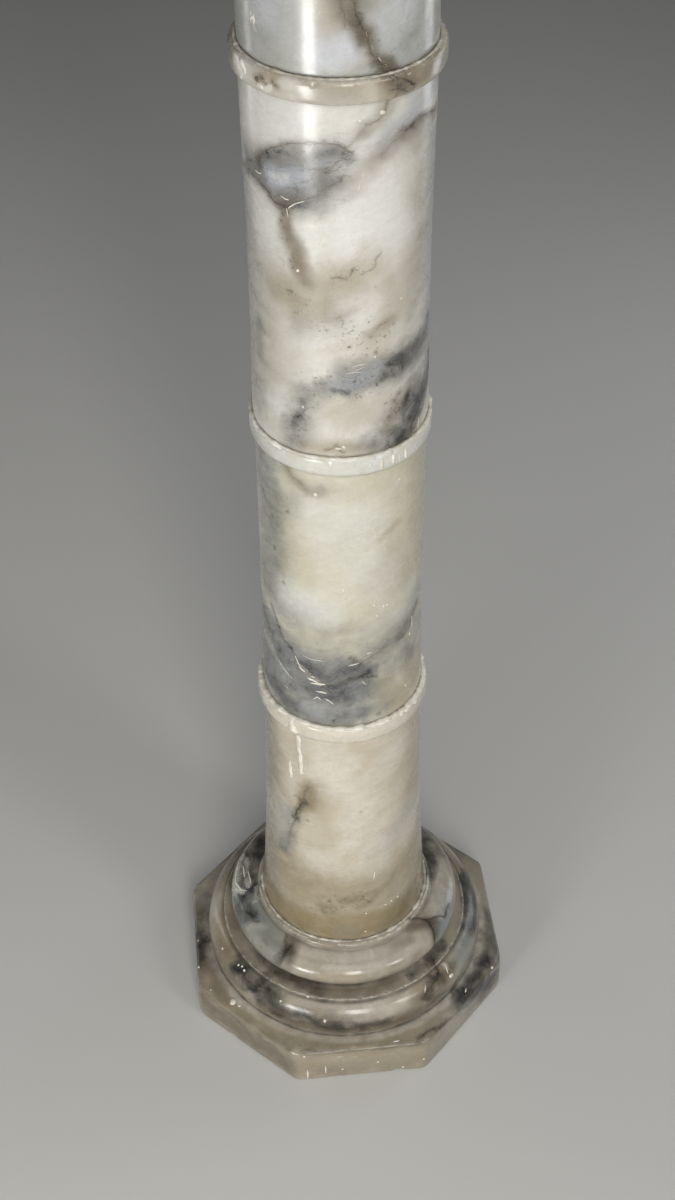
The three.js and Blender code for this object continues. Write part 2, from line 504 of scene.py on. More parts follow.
DRUM_3_MARKS = [
    # The smoky vein that comes down from the ring, and the long one from the right
    ("brown", 4.5, 0.55, [(25, 876), (21, 867), (16, 860), (8, 855)]),
    ("grey", 5, 0.35, [(8, 855), (-2, 848), (-8, 846)]),
    ("vein", 1.0, 0.55, [(25, 876), (21, 869), (20, 864), (16, 860), (11, 858)]),
    ("vein", 0.8, 0.25, [(11, 858), (6, 854), (1, 849), (-3, 844)]),
    ("blue", 9, 0.6, [(72, 869), (52, 864), (36, 854), (22, 845)]),
    ("grey", 5, 0.35, [(48, 862), (32, 852), (14, 842), (0, 836)]),
    ("brown", 5, 0.65, [(70, 845), (52, 849), (41, 848), (32, 845)]),
    ("brown", 5.5, 0.5, [(32, 845), (22, 840), (12, 832)]),
    ("brown", 5, 0.25, [(12, 832), (5, 824), (0, 815)]),
    ("white", 3, 0.6, [(24, 830), (14, 822), (8, 812)]),
    ("dark", 3, 0.5, [(64, 848), (50, 851), (41, 849)]),
    ("vein", 1.7, 0.8, [(70, 847), (60, 849), (50, 852), (41, 851), (34, 849)]),
    ("vein", 0.9, 0.25, [(34, 849), (26, 844), (18, 838)]),
    ("tan", 8, 0.6, [(60, 842), (41, 843), (26, 838), (14, 830), (6, 822)]),
    # The grey eye: dark smoky rim, grey body and a blue-white heart; then the band that hangs from it
    ("grey", 12, 1.0, [(-66, 819), (-52, 821), (-38, 824), (-22, 830), (-10, 835)]),
    ("grey", 11, 1.0, [(-40, 811), (-24, 814), (-11, 823)]),
    ("blue", 6, 1.0, [(-48, 819), (-40, 820), (-31, 824)]),
    ("white", 2.5, 0.6, [(-46, 819), (-38, 821)]),
    ("blue", 3, 0.3, [(-30, 827), (-20, 833), (-12, 838)]),
    ("dark", 4, 0.42, [(-62, 823), (-50, 835), (-38, 841), (-24, 845), (-8, 843), (0, 838)]),
    ("dark", 3.2, 0.5, [(-78, 810), (-63, 812), (-52, 807), (-42, 803)]),
    ("dark", 3.2, 0.45, [(-42, 803), (-30, 806), (-20, 811)]),
    ("vein", 0.9, 0.75, [(-92, 806), (-81, 812), (-66, 822), (-56, 829), (-50, 836), (-41, 842)]),
    ("vein", 0.8, 0.6, [(-41, 842), (-31, 846), (-24, 848), (-16, 849), (-9, 848), (0, 843)]),
    ("vein", 1.2, 0.8, [(-81, 812), (-71, 813), (-60, 811), (-51, 807), (-46, 802), (-38, 800)]),
    ("vein", 1.1, 0.75, [(-38, 800), (-33, 805), (-26, 810), (-20, 813)]),
    ("vein", 0.7, 0.45, [(-20, 813), (-16, 816), (-9, 821), (-3, 826)]),
    ("vein", 0.6, 0.5, [(-22, 829), (-12, 833), (-2, 840)]),
    ("vein", 0.6, 0.4, [(-30, 819), (-18, 825), (-6, 833)]),
    ("grey", 6, 0.35, [(-2, 822), (-14, 812)]),
    ("grey", 5, 0.5, [(-92, 806), (-80, 812)]),
    ("brown", 5.2, 0.95, [(-40, 801), (-38, 790), (-35, 779), (-31, 766), (-26, 754)]),
    ("tan", 10, 0.5, [(-37, 770), (-30, 755), (-24, 744)]),
    *specks(0.8, 0.6, [(-41, 796), (-42, 791), (-40, 787), (-39, 780)]),
    # White and beige clouds in the body
    ("white", 9, 0.8, [(4, 812), (0, 798), (-4, 780)]),
    ("white", 16, 0.7, [(18, 820), (20, 800), (24, 785)]),
    ("white", 14, 0.6, [(-60, 860), (-30, 866), (0, 868)]),
    # Painted shade: the grey band down the left side and the blue-grey and grey bands down the right side are
    # partly the stone's tones and partly shade where the drum turns from the light
    ("grey", 17, 0.45, [(-86, 800), (-79, 770), (-76, 740), (-76, 700), (-73, 650)]),
    ("blue", 10, 0.5, [(78, 860), (80, 800), (80, 740), (80, 700)]),
    ("grey", 13, 0.42, [(58, 835), (64, 800), (62, 740), (64, 700)]),
    ("tan", 12, 0.45, [(50, 800), (54, 760)]),
    ("white", 10, 0.5, [(0, 835), (10, 842)]),
    ("tan", 12, 0.5, [(12, 764), (0, 752)]),
    ("tan", 16, 0.85, [(-42, 745), (-30, 738), (-17, 745), (-6, 750)]),
    ("brown", 3, 0.3, [(-38, 742), (-30, 736)]),
    ("brown", 3, 0.25, [(-6, 731), (4, 735)]),
    ("grey", 10, 0.25, [(-30, 720), (-10, 728)]),
    ("tan", 14, 0.55, [(56, 775), (50, 755), (42, 740), (34, 730)]),
    ("tan", 12, 0.5, [(28, 745), (26, 720), (20, 705)]),
    ("white", 9, 0.4, [(0, 738), (10, 730)]),
    ("tan", 16, 0.3, [(-60, 725), (-52, 700), (-44, 680)]),
    ("white", 12, 0.5, [(-52, 785), (-48, 765)]),
    ("tan", 12, 0.5, [(-12, 660), (8, 655), (22, 660)]),
    ("brown", 5, 0.3, [(45, 720), (40, 700), (46, 690)]),
    ("pepper", 6, 0.7, [(-42, 792), (-39, 776), (-37, 762)]),
    ("pepper", 8, 0.6, [(-38, 744), (-30, 730), (-22, 724)]),
    ("pepper", 6, 0.6, [(8, 760), (-8, 757)]),
    ("pepper", 9, 0.7, [(-14, 718), (5, 719), (24, 716)]),
    ("pepper", 7, 0.7, [(0, 706), (17, 700)]),
    ("pepper", 9, 0.8, [(-23, 679), (-9, 674), (10, 676), (30, 680), (44, 684)]),
    ("pepper", 8, 0.7, [(-28, 668), (-33, 648), (-38, 632)]),
    ("pepper", 8, 0.8, [(30, 657), (34, 650), (40, 640)]),
    ("vein", 0.5, 0.6, [(18, 770), (16, 768), (15, 761), (8, 759)]),
    ("vein", 0.7, 0.6, [(2, 762), (-2, 757), (-10, 757)]),
    *specks(0.7, 0.7, [(-1, 757), (16, 747), (-37, 742), (-25, 739), (-6, 729), (0, 706), (17, 699)]),
    *specks(0.6, 0.6, [(13, 712), (29, 717), (24, 722), (9, 716), (-2, 721), (-14, 718), (-35, 728)]),
    ("brown", 4, 0.4, [(13, 713), (20, 717), (28, 720)]),
    ("grey", 7, 0.65, [(-66, 704), (-68, 682)]),
    # The grey bands that rise to the right
    ("grey", 10, 0.95, [(75, 690), (63, 688), (50, 685), (36, 684), (22, 683), (9, 683), (-1, 680)]),
    ("grey", 7, 0.7, [(-1, 681), (-11, 676), (-21, 672)]),
    ("dark", 5, 0.6, [(68, 698), (52, 690), (38, 684)]),
    ("grey", 7, 0.5, [(60, 704), (66, 716)]),
    ("dark", 3, 0.4, [(36, 680), (22, 678)]),
    ("blue", 5, 0.5, [(16, 686), (4, 680), (-8, 676)]),
    ("tan", 3, 0.6, [(22, 690), (30, 694)]),
    ("dark", 2.5, 0.5, [(26, 686), (34, 690), (42, 693)]),
    ("dark", 2, 0.4, [(-10, 672), (-2, 671)]),
    *specks(0.9, 0.9, [(-3, 690), (-18, 680), (-21, 676), (-9, 674), (36, 679)]),
    *specks(0.7, 0.8, [(-14, 683), (-1, 674), (3, 679), (28, 682), (-26, 671), (-16, 677)]),
    ("grey", 9, 0.7, [(-28, 668), (-32, 645), (-37, 629)]),
    ("dark", 2.5, 0.4, [(-31, 660), (-33, 647), (-37, 634)]),
    *specks(0.9, 0.8, [(-31, 662), (-33, 647), (-39, 627), (-29, 640)]),
    ("grey", 5, 0.5, [(8, 633), (8, 628)]),
    ("grey", 12, 0.7, [(75, 672), (60, 664), (45, 650), (30, 636), (18, 628)]),
    ("brown", 7, 0.6, [(46, 662), (36, 652), (28, 640)]),
    ("dark", 9.5, 1.0, [(76, 660), (62, 650), (52, 638), (43, 627), (36, 621)]),
    ("dark", 3, 0.7, [(42, 657), (38, 646), (38, 636)]),
    ("vein", 2.5, 0.9, [(66, 652), (52, 636), (44, 626)]),
    *specks(1.5, 0.8, [(30, 657), (33, 661), (35, 650), (27, 646)]),
    ("tan", 5, 0.8, [(-28, 625), (-13, 628), (0, 625), (14, 624)]),
    ("vein", 0.9, 0.6, [(-15, 626), (-9, 629), (-5, 625)]),
    # The ring: its brown patch and black pits
    ("brown", 8, 1.0, [(22, 884), (34, 882)]),
    ("brown", 7, 0.8, [(40, 882), (60, 883)]),
    ("dark", 4, 0.4, [(24, 885), (34, 880)]),
    ("brown", 6, 0.35, [(-22, 880), (-10, 881), (2, 880)]),
    ("vein", 1.8, 0.9, [(25, 887), (30, 884), (35, 881)]),
    ("vein", 1.0, 0.7, [(22, 880), (30, 878)]),
    *specks(1.2, 1.0, [(-51, 882), (-48, 884), (-45, 881), (-42, 880), (-39, 882), (-46, 878), (-41, 884)]),
    ("white", 6, 0.7, [(-68, 882), (-58, 883)]),
    ("grey", 8, 0.6, [(-95, 885), (-82, 885)]),
    ("white", 4, 0.6, [(-33, 884), (-26, 884)]),
    ("chalk_and_sheen", 1.8, 1.0, [(-50, 880), (-46, 879), (-43, 881)]),
]
DRUM_2_MARKS = [
    ("brown", 4, 0.45, [(-44, 601), (-40, 597), (-35, 592), (-30, 587), (-20, 588)]),
    ("vein", 0.7, 0.3, [(-44, 601), (-40, 597), (-35, 592), (-30, 587)]),
    ("tan", 7, 0.5, [(-44, 599), (-30, 588), (-16, 588)]),
    # Painted shade: a grey band down the left side, partly the stone's grey and partly shade where the drum
    # turns from the light
    ("grey", 15, 0.7, [(-72, 600), (-66, 560), (-62, 520), (-68, 480)]),
    ("brown", 10, 0.45, [(-44, 571), (-50, 563), (-56, 552)]),
    ("grey", 9, 0.55, [(-60, 541), (-57, 528), (-66, 512)]),
    *specks(0.9, 0.7, [(-55, 496), (-50, 493), (-44, 561), (-60, 548), (-58, 520), (-50, 540)]),
    ("tan", 3, 0.5, [(36, 551), (28, 546), (20, 540)]),
    ("tan", 15, 0.4, [(34, 520), (26, 508), (40, 495)]),
    ("tan", 13, 0.5, [(60, 600), (64, 560), (60, 530), (66, 490)]),
    ("white", 11, 0.55, [(-46, 488), (-34, 482), (-20, 474)]),
    ("blue", 10, 0.35, [(-52, 470), (-34, 470)]),
    ("white", 12, 0.3, [(30, 474), (45, 468)]),
    ("white", 18, 0.5, [(-20, 570), (-10, 545), (5, 560)]),
    ("white", 14, 0.5, [(10, 520), (24, 500)]),
    # The blue-grey band with its cracks, and the vein that comes down into it from the right
    ("vein", 1.0, 0.8, [(-64, 460), (-60, 454), (-58, 449), (-54, 439), (-47, 433), (-40, 425),
        (-38, 418)]),
    ("vein", 1.1, 0.95, [(-38, 418), (-34, 415), (-29, 410), (-23, 408), (-19, 404), (-14, 398)]),
    ("vein", 0.9, 0.7, [(-19, 402), (-10, 406), (-2, 412), (6, 412), (18, 410)]),
    ("vein", 0.8, 0.75, [(60, 455), (56, 450), (53, 445), (48, 438), (42, 436)]),
    ("vein", 0.7, 0.5, [(42, 436), (36, 437), (23, 436), (14, 430), (6, 424), (-4, 416), (-10, 407)]),
    ("grey", 16, 0.95, [(-88, 440), (-62, 434), (-45, 424), (-20, 420), (4, 418)]),
    ("grey", 18, 1.0, [(-88, 402), (-60, 398), (-36, 396), (-12, 396), (2, 400)]),
    ("grey", 12, 0.9, [(-85, 374), (-58, 374), (-34, 372), (-14, 371), (4, 374)]),
    ("grey", 18, 0.36, [(-60, 464), (-30, 452), (0, 448), (24, 450)]),
    ("grey", 12, 0.6, [(10, 432), (28, 438), (44, 448), (58, 462)]),
    ("grey", 11, 0.4, [(6, 398), (14, 388), (18, 374)]),
    ("tan", 9, 0.4, [(18, 376), (34, 372)]),
    ("brown", 7, 0.4, [(14, 428), (30, 430), (46, 436), (58, 448)]),
    ("grey", 13, 0.5, [(30, 415), (50, 420), (66, 430)]),
    ("blue", 6, 0.55, [(-60, 420), (-52, 398)]),
    ("blue", 5, 0.5, [(-32, 378), (-20, 372)]),
    ("dark", 6, 0.6, [(-80, 382), (-64, 382), (-52, 376), (-46, 369)]),
    ("dark", 5, 0.45, [(-88, 446), (-72, 436), (-60, 424), (-48, 412)]),
    ("dark", 9, 0.5, [(-32, 418), (-18, 408), (-4, 410), (8, 418)]),
    ("dark", 6, 0.4, [(-26, 394), (-14, 390), (-4, 394)]),
    ("dark", 3, 0.35, [(52, 447), (44, 440), (34, 438)]),
    *specks(1.3, 0.9, [(2, 430), (-30, 396), (-44, 391), (-12, 392), (6, 426), (-1, 433)]),
    ("tan", 12, 0.7, [(22, 399), (32, 384), (40, 370)]),
    ("tan", 13, 0.75, [(52, 404), (60, 384), (70, 400)]),
    ("brown", 6, 0.3, [(46, 416), (62, 410)]),
    ("tan", 5, 0.8, [(-17, 371), (-10, 364), (-2, 364)]),
    *specks(1.1, 0.8, [(20, 369), (-13, 368)]),
    ("chalk_and_sheen", 2.2, 0.4, [(-38, 419), (-30, 411), (-22, 406)]),
    ("pepper", 10, 0.6, [(-46, 566), (-56, 548), (-60, 520)]),
    ("pepper", 8, 0.7, [(-2, 430), (10, 428)]),
    ("chalk_and_sheen", 3, 0.7, [(20, 613), (38, 612)]),
    ("chalk_and_sheen", 1.6, 0.9, [(-58, 617), (-48, 617)]),
]
DRUM_1_MARKS = [
    ("brown", 6, 0.45, [(-31, 284), (-35, 272), (-38, 258)]),
    ("grey", 8, 0.6, [(-44, 250), (-48, 230), (-52, 212), (-58, 198)]),
    ("vein", 0.9, 0.6, [(-33, 284), (-36, 275), (-39, 263)]),
    ("dark", 3.5, 0.55, [(-38, 266), (-41, 254), (-43, 244)]),
    ("vein", 1.7, 1.0, [(-38, 266), (-41, 254), (-43, 245)]),
    ("vein", 1.0, 0.45, [(-43, 245), (-46, 230), (-50, 214)]),
    ("dark", 5, 0.28, [(-48, 216), (-53, 206), (-58, 196)]),
    ("tan", 9, 0.9, [(-27, 286), (-32, 268)]),
    ("blue", 9, 0.75, [(-54, 242), (-57, 224), (-59, 205)]),
    ("grey", 6, 0.55, [(-52, 212), (-58, 200), (-64, 190)]),
    # Painted shade: a broad grey band down the left side, partly the stone's grey and partly shade where the
    # drum turns from the light
    ("grey", 20, 0.5, [(-84, 340), (-80, 270), (-78, 200), (-80, 150)]),
    ("blue", 12, 0.5, [(24, 212), (36, 224), (50, 235)]),
    ("grey", 6, 0.45, [(70, 216), (69, 190)]),
    *specks(0.9, 0.75, [(7, 263), (-16, 154), (-12, 162), (-1, 156), (8, 159), (-20, 139), (-14, 141)]),
    *specks(0.9, 0.6, [(-23, 143), (-44, 268), (-33, 246), (12, 151), (-7, 148), (-10, 157), (3, 160)]),
    ("tan", 14, 0.5, [(-75, 330), (-66, 300), (-74, 260)]),
    ("tan", 18, 0.45, [(60, 330), (66, 290), (60, 255)]),
    ("tan", 26, 0.7, [(-75, 180), (-45, 165), (-13, 165), (20, 155), (60, 170)]),
    ("tan", 20, 1.0, all_round(122)),
    ("brown", 4.5, 0.65, [(-22, 146), (-14, 143)]),
    ("brown", 4.5, 0.6, [(-6, 155), (6, 158)]),
    ("brown", 3.5, 0.5, [(4, 146), (12, 150), (20, 158)]),
    ("pepper", 9, 0.8, [(-20, 142), (-6, 154), (8, 157)]),
    ("pepper", 6, 0.7, [(-42, 250), (-47, 224)]),
    ("tan", 11, 0.18, [(-20, 280), (-18, 250), (-24, 218)]),
    ("white", 11, 0.45, [(2, 292), (20, 300), (40, 322)]),
    ("white", 9, 0.4, [(0, 226), (18, 236), (36, 254)]),
    ("brown", 3, 0.4, [(33, 170), (24, 165), (16, 162), (8, 158)]),
    ("brown", 8, 0.65, [(64, 150), (48, 134), (34, 120), (22, 112)]),
    ("grey", 6, 0.45, [(-8, 118), (0, 116)]),
    ("white", 13, 0.5, [(-20, 335), (-8, 318), (-14, 295)]),
    ("white", 14, 0.4, [(10, 285), (4, 250), (16, 220)]),
    ("white", 10, 0.35, [(-26, 200), (-5, 190), (20, 200)]),
]
# Marks of the base and the capital: their paths are of (turn, radius, height)
BASE_MARKS = [
    # Upper torus
    ("blue", 11, 0.8, [(-84, 90, 97), (-69, 90, 98), (-55, 93, 97), (-45, 96, 94)]),
    ("dark", 5, 0.6, [(-85, 91, 97), (-78, 90, 98), (-72, 89, 98)]),
    ("grey", 4, 0.6, [(-72, 89, 98), (-66, 85, 99)]),
    ("brown", 4.5, 0.75, [(-80, 98, 90), (-72, 99, 88), (-64, 99, 86)]),
    ("white", 4, 0.5, [(-66, 92, 97), (-61, 90, 98)]),
    ("tan", 4, 0.9, [(-54, 92, 97), (-50, 93, 96)]),
    ("brown", 2.5, 0.5, [(-53, 93, 97), (-51, 94, 96)]),
    ("brown", 4, 0.5, [(-60, 99, 88), (-50, 99, 87), (-42, 99, 88)]),
    ("vein", 0.8, 0.6, [(-77, 88, 98), (-72, 89, 98), (-68, 90, 98), (-66, 87, 99)]),
    ("grey", 8, 0.5, [(-135, 88, 98), (-110, 88, 98), (-88, 90, 97)]),
    ("white", 8, 0.8, [(-30, 88, 98), (-17, 88, 99), (0, 87, 98), (14, 88, 98), (28, 87, 98),
        (38, 90, 97)]),
    ("white", 5, 0.35, [(-60, 97, 92), (-48, 98, 91), (-30, 98, 91)]),
    ("tan", 6, 0.7, [(-16, 98, 90), (-2, 99, 90)]),
    ("brown", 5, 0.7, [(-40, 80, 100), (-38, 88, 98), (-36, 96, 93)]),
    ("dark", 3.5, 0.7, [(-39, 90, 98), (-42, 97, 91)]),
    ("vein", 0.9, 0.8, [(-45, 79, 100), (-43, 84, 99), (-39, 90, 98), (-40, 97, 92)]),
    ("dark", 7, 0.75, [(-114, 92, 97), (-104, 86, 99), (-90, 79, 101)]),
    ("dark", 7, 0.8, [(-128, 84, 99), (-118, 82, 99)]),
    ("grey", 6, 0.6, [(-92, 84, 99), (-84, 90, 97), (-74, 96, 93)]),
    ("white", 8, 0.65, [(95, 88, 98), (80, 86, 98), (64, 86, 98)]),
    ("brown", 4, 0.7, [(40, 78, 101), (50, 84, 99), (54, 92, 97), (48, 98, 91), (44, 102, 76)]),
    ("vein", 1.1, 0.95, [(44, 73, 105), (50, 78, 100), (54, 88, 98), (61, 95, 96), (68, 95, 96)]),
    ("vein", 1.2, 0.9, [(52, 84, 99), (50, 92, 97), (48, 96, 95), (46, 99, 90), (45, 97, 76)]),
    ("vein", 1.2, 0.8, [(45, 97, 76), (43, 104, 72), (40, 112, 67), (34, 117, 65)]),
    ("dark", 5, 0.85, [(114, 84, 99), (100, 80, 100), (88, 77, 102)]),
    ("grey", 6, 0.5, [(108, 92, 97), (96, 96, 94)]),
    ("blue", 10, 0.9, [(72, 92, 97), (64, 95, 95), (58, 97, 92), (52, 99, 88)]),
    ("brown", 4, 0.4, [(25, 84, 98), (36, 84, 98)]),
    # Cove and step
    ("dark", 5, 0.6, [(-60, 98, 79), (-46, 98, 77), (-30, 98, 76), (-18, 98, 74)]),
    ("brown", 8, 0.75, [(-40, 99, 76), (-16, 99, 76), (4, 99, 76), (20, 99, 76)]),
    ("dark", 5, 0.7, [(30, 99, 75), (40, 101, 74), (52, 100, 74)]),
    ("brown", 6, 0.5, [(-110, 100, 74), (-80, 100, 74)]),
    ("tan", 5, 0.5, [(-20, 100, 73), (20, 100, 73)]),
    # Lower torus
    ("tan", 9, 0.55, [(-92, 116, 66), (-66, 118, 65)]),
    ("white", 6, 0.5, [(-99, 116, 66), (-94, 117, 65)]),
    ("brown", 10, 0.5, [(-72, 119, 62), (-62, 119, 62)]),
    ("dark", 9, 0.85, [(-58, 114, 67), (-52, 117, 65), (-46, 119, 62)]),
    ("dark", 8, 0.8, [(-45, 113, 67), (-38, 118, 64), (-33, 122, 58)]),
    ("brown", 9, 0.6, [(-36, 121, 60), (-22, 122, 58), (-8, 123, 55)]),
    ("vein", 1.5, 0.7, [(-60, 112, 68), (-50, 118, 64), (-42, 112, 67), (-37, 120, 61)]),
    ("white", 7, 0.55, [(-50, 119, 60), (-46, 121, 58)]),
    ("white", 6, 0.6, [(-28, 116, 66), (-23, 118, 65)]),
    ("dark", 5, 0.7, [(-26, 121, 60), (-16, 122, 55), (-8, 123, 52)]),
    ("vein", 1.1, 0.7, [(-24, 119, 63), (-19, 122, 57), (-12, 123, 52), (-2, 123, 50)]),
    ("pepper", 7, 0.8, [(-24, 121, 60), (-12, 122, 54), (0, 122, 52)]),
    ("pepper", 8, 0.5, [(-14, 90, 97), (0, 86, 98)]),
    ("grey", 8, 0.6, [(95, 115, 66), (80, 115, 66), (66, 115, 66)]),
    ("blue", 8, 0.7, [(62, 118, 64), (54, 118, 64)]),
    ("dark", 7, 0.8, [(100, 116, 65), (84, 115, 66), (72, 116, 65)]),
    ("tan", 7, 0.6, [(42, 115, 66), (33, 116, 66), (24, 119, 63)]),
    ("brown", 7, 0.6, [(46, 116, 65), (36, 120, 60), (26, 121, 58)]),
    ("dark", 4.5, 0.7, [(40, 117, 65), (34, 114, 67), (30, 120, 60)]),
    ("white", 8, 0.65, [(20, 116, 65), (6, 117, 64), (-6, 117, 64)]),
    ("grey", 6, 0.5, [(-12, 119, 61), (-2, 118, 62), (6, 117, 64)]),
    ("dark", 4, 0.55, [(12, 122, 53), (2, 122, 52), (-6, 123, 50)]),
    ("brown", 7, 0.8, [(-40, 122, 52), (-20, 122, 49), (0, 122, 49), (20, 122, 50), (36, 122, 52)]),
    # Plinth
    ("dark", 7, 0.8, [(-91, 130, 38), (-83, 134, 37), (-78, 138, 28)]),
    ("grey", 9, 0.6, [(-108, 129, 38), (-97, 130, 38)]),
    ("brown", 9, 0.5, [(-100, 131, 36), (-86, 136, 34), (-72, 140, 34)]),
    ("tan", 14, 0.8, [(-66, 141, 30), (-52, 136, 20), (-30, 140, 22), (-5, 136, 22), (20, 140, 20)]),
    ("tan", 9, 0.65, [(-55, 132, 38), (-35, 132, 38), (0, 131, 38), (20, 133, 38)]),
    ("brown", 6, 0.45, [(-78, 128, 38), (-66, 130, 38), (-58, 134, 38)]),
    ("brown", 5, 0.2, [(-30, 132, 38), (-20, 134, 38), (-10, 132, 38)]),
    ("vein", 0.7, 0.4, [(-70, 146, 32), (-60, 140, 34), (-52, 136, 30), (-44, 135, 24)]),
    ("vein", 0.6, 0.3, [(-27, 142, 37), (-14, 137, 36), (-6, 136, 37), (8, 137, 36), (21, 142, 37)]),
    ("brown", 12, 0.75, [(-64, 142, 20), (-45, 138, 16), (-28, 142, 16)]),
    ("blue", 6, 0.5, [(40, 122, 40), (56, 122, 40), (72, 122, 40)]),
    ("grey", 9, 0.7, [(72, 140, 30), (62, 137, 34), (54, 133, 36), (44, 132, 36)]),
    ("dark", 8, 0.95, [(60, 140, 26), (52, 136, 30), (47, 131, 37)]),
    ("dark", 6, 0.75, [(66, 131, 38), (56, 131, 38), (50, 130, 38)]),
    ("brown", 5, 0.4, [(-44, 138, 38), (-34, 139, 38), (-26, 140, 38)]),
    ("brown", 4, 0.3, [(8, 134, 38), (16, 137, 38), (22, 140, 38)]),
    ("grey", 5, 0.4, [(-38, 140, 30), (-30, 142, 22)]),
    ("white", 7, 0.2, [(-10, 137, 24), (4, 136, 16), (16, 138, 22)]),
    ("brown", 10, 0.28, [(-16, 140, 12), (2, 136, 12), (18, 140, 14)]),
    ("pepper", 10, 0.35, [(-20, 136, 38), (4, 132, 38), (20, 134, 38)]),
    ("tan", 5, 0.8, [(60, 140, 38), (54, 137, 37)]),
    ("grey", 9, 0.7, [(86, 130, 38), (76, 133, 38), (68, 139, 36)]),
    ("dark", 8, 0.55, [(84, 136, 20), (68, 143, 18), (58, 138, 14)]),
    ("vein", 1.1, 0.7, [(22, 138, 38), (30, 138, 35), (41, 135, 32), (47, 135, 24)]),
    ("grey", 9, 0.5, [(-100, 136, 20), (-86, 136, 14)]),
    # Where cement was scraped off and smeared
    ("chalk_and_sheen", 5, 0.62, [(-114, 96, 94), (-106, 97, 93), (-98, 97, 93), (-91, 95, 95)]),
    ("chalk_and_sheen", 3.0, 0.6, [(-112, 90, 97), (-100, 86, 99), (-92, 84, 99)]),
    ("chalk_and_sheen", 2.4, 0.8, [(-93, 95, 95), (-88, 90, 97)]),
    ("chalk_and_sheen", 3, 0.45, [(-90, 78, 101), (-80, 80, 100)]),
    ("chalk_and_sheen", 2, 0.5, [(46, 109, 68), (45, 116, 66), (46, 122, 60)]),
    ("chalk_and_sheen", 1.5, 0.5, [(-88, 114, 67), (-84, 112, 67)]),
]
BASE_FAR_SIDE = [
    ("grey", 14, 0.7, [(120, 92, 97), (150, 95, 94), (175, 90, 98)]),
    ("dark", 8, 0.7, [(130, 116, 66), (142, 120, 62), (155, 117, 65)]),
    ("vein", 2, 0.8, [(122, 78, 101), (135, 90, 98), (140, 99, 88), (146, 115, 66), (150, 122, 52)]),
    ("vein", 1.8, 0.7, [(190, 76, 102), (197, 88, 98), (205, 99, 84), (212, 115, 66)]),
    ("tan", 12, 0.7, [(160, 136, 30), (180, 136, 24), (200, 140, 30), (215, 138, 26)]),
    ("grey", 10, 0.7, [(165, 118, 64), (190, 118, 64), (210, 118, 64)]),
    ("dark", 7, 0.6, [(225, 117, 65), (236, 120, 60)]),
    ("grey", 10, 0.6, [(120, 136, 30), (135, 140, 24)]),
    ("white", 8, 0.6, [(200, 90, 98), (220, 92, 97)]),
    ("vein", 1.5, 0.6, [(150, 131, 38), (158, 138, 30), (164, 136, 12)]),
]
CAPITAL_MARKS = [
    ("vein", 2, 0.6, [(-40, 66, 1150), (-32, 66, 1166), (-24, 82, 1180), (-12, 100, 1194)]),
    ("grey", 14, 0.5, [(-50, 95, 1190), (-30, 100, 1195), (0, 100, 1195)]),
    ("tan", 16, 0.5, [(20, 70, 1170), (45, 80, 1180), (60, 95, 1192)]),
    ("white", 14, 0.5, [(-10, 66, 1160), (10, 70, 1175)]),
    ("grey", 16, 0.45, [(-60, 110, 1228), (-20, 60, 1228), (30, 20, 1228), (120, 60, 1228)]),
    ("vein", 2, 0.5, [(-120, 110, 1228), (-90, 60, 1228), (20, 20, 1228), (70, 70, 1228), (80, 118, 1220)]),
    ("tan", 20, 0.5, [(60, 100, 1216), (90, 118, 1216), (130, 100, 1228), (150, 60, 1228)]),
    ("vein", 1.4, 0.5, [(150, 118, 1210), (158, 100, 1228), (170, 60, 1228)]),
    ("white", 18, 0.4, [(180, 90, 1228), (-150, 70, 1228)]),
    ("grey", 12, 0.4, [(130, 95, 1195), (160, 80, 1180), (190, 66, 1165)]),
]


# Materials

def colour(hex_code):
    """An sRGB hex colour as linear red, green, blue and alpha."""
    parts = [int(hex_code[at:at + 2], 16) / 255 for at in (1, 3, 5)]
    return (*[p / 12.92 if p <= 0.04045 else ((p + 0.055) / 1.055) ** 2.4 for p in parts], 1)


def new_material(name):
    """A material with its node tree and its shader."""
    material = bpy.data.materials.new(name)
    material.use_nodes = True
    tree = material.node_tree
    return material, tree, tree.nodes["Principled BSDF"]


def add(tree, kind, inputs, output=0, **settings):
    """Adds a node and gives back one of its outputs; an input is a plain value or the output that
    feeds it."""
    node = tree.nodes.new("ShaderNode" + kind)
    for name, value in settings.items():
        setattr(node, name, value)
    for socket, value in inputs.items():
        if isinstance(value, bpy.types.NodeSocket):
            tree.links.new(value, node.inputs[socket])
        else:
            node.inputs[socket].default_value = value
    return node.outputs[output]


def patterns(tree):
    """The noises that the marbles share, all in the piece's own space."""
    place = add(tree, "TexCoord", {}, "Object")
    # Slow drift that bends every pattern: lumps of 45 mm moved by up to 9 mm
    drift = add(tree, "TexNoise", {"Vector": place, "Scale": 1 / 0.045, "Detail": 2.0}, "Color")
    centred = add(tree, "VectorMath", {0: drift, 1: (0.5, 0.5, 0.5)}, operation="SUBTRACT")
    moved = add(tree, "VectorMath", {0: centred, "Scale": 0.018}, operation="SCALE")
    bent = add(tree, "VectorMath", {0: place, 1: moved}, operation="ADD")
    made = {"place": place, "bent": bent}
    # The beds rise 20 degrees to the right of the front; clouds are a little flat in them, streaks thin
    for key, thickness in (("bedded", 0.6), ("thin", 0.12)):
        made[key] = add(tree, "Mapping", {"Vector": bent, "Rotation": (0, math.radians(-20), 0),
                                          "Scale": (1, 1, thickness)}, vector_type="TEXTURE")
    # Clouds of 55 mm, wisps of 15 mm, streaks 20 mm long, blotches of 5 mm and crystals of 1.6 mm
    for key, source, size, detail, rough in (
            ("cloud", "bedded", 0.055, 4.0, 0.5), ("wisp", "bedded", 0.015, 5.0, 0.52),
            ("streak", "thin", 0.02, 4.0, 0.6), ("blotch", "place", 0.005, 3.0, 0.55),
            ("grain", "place", 0.0016, 2.0, 0.7)):
        made[key] = add(tree, "TexNoise", {"Vector": made[source], "Scale": 1 / size, "Detail": detail,
                                           "Roughness": rough})
    return made


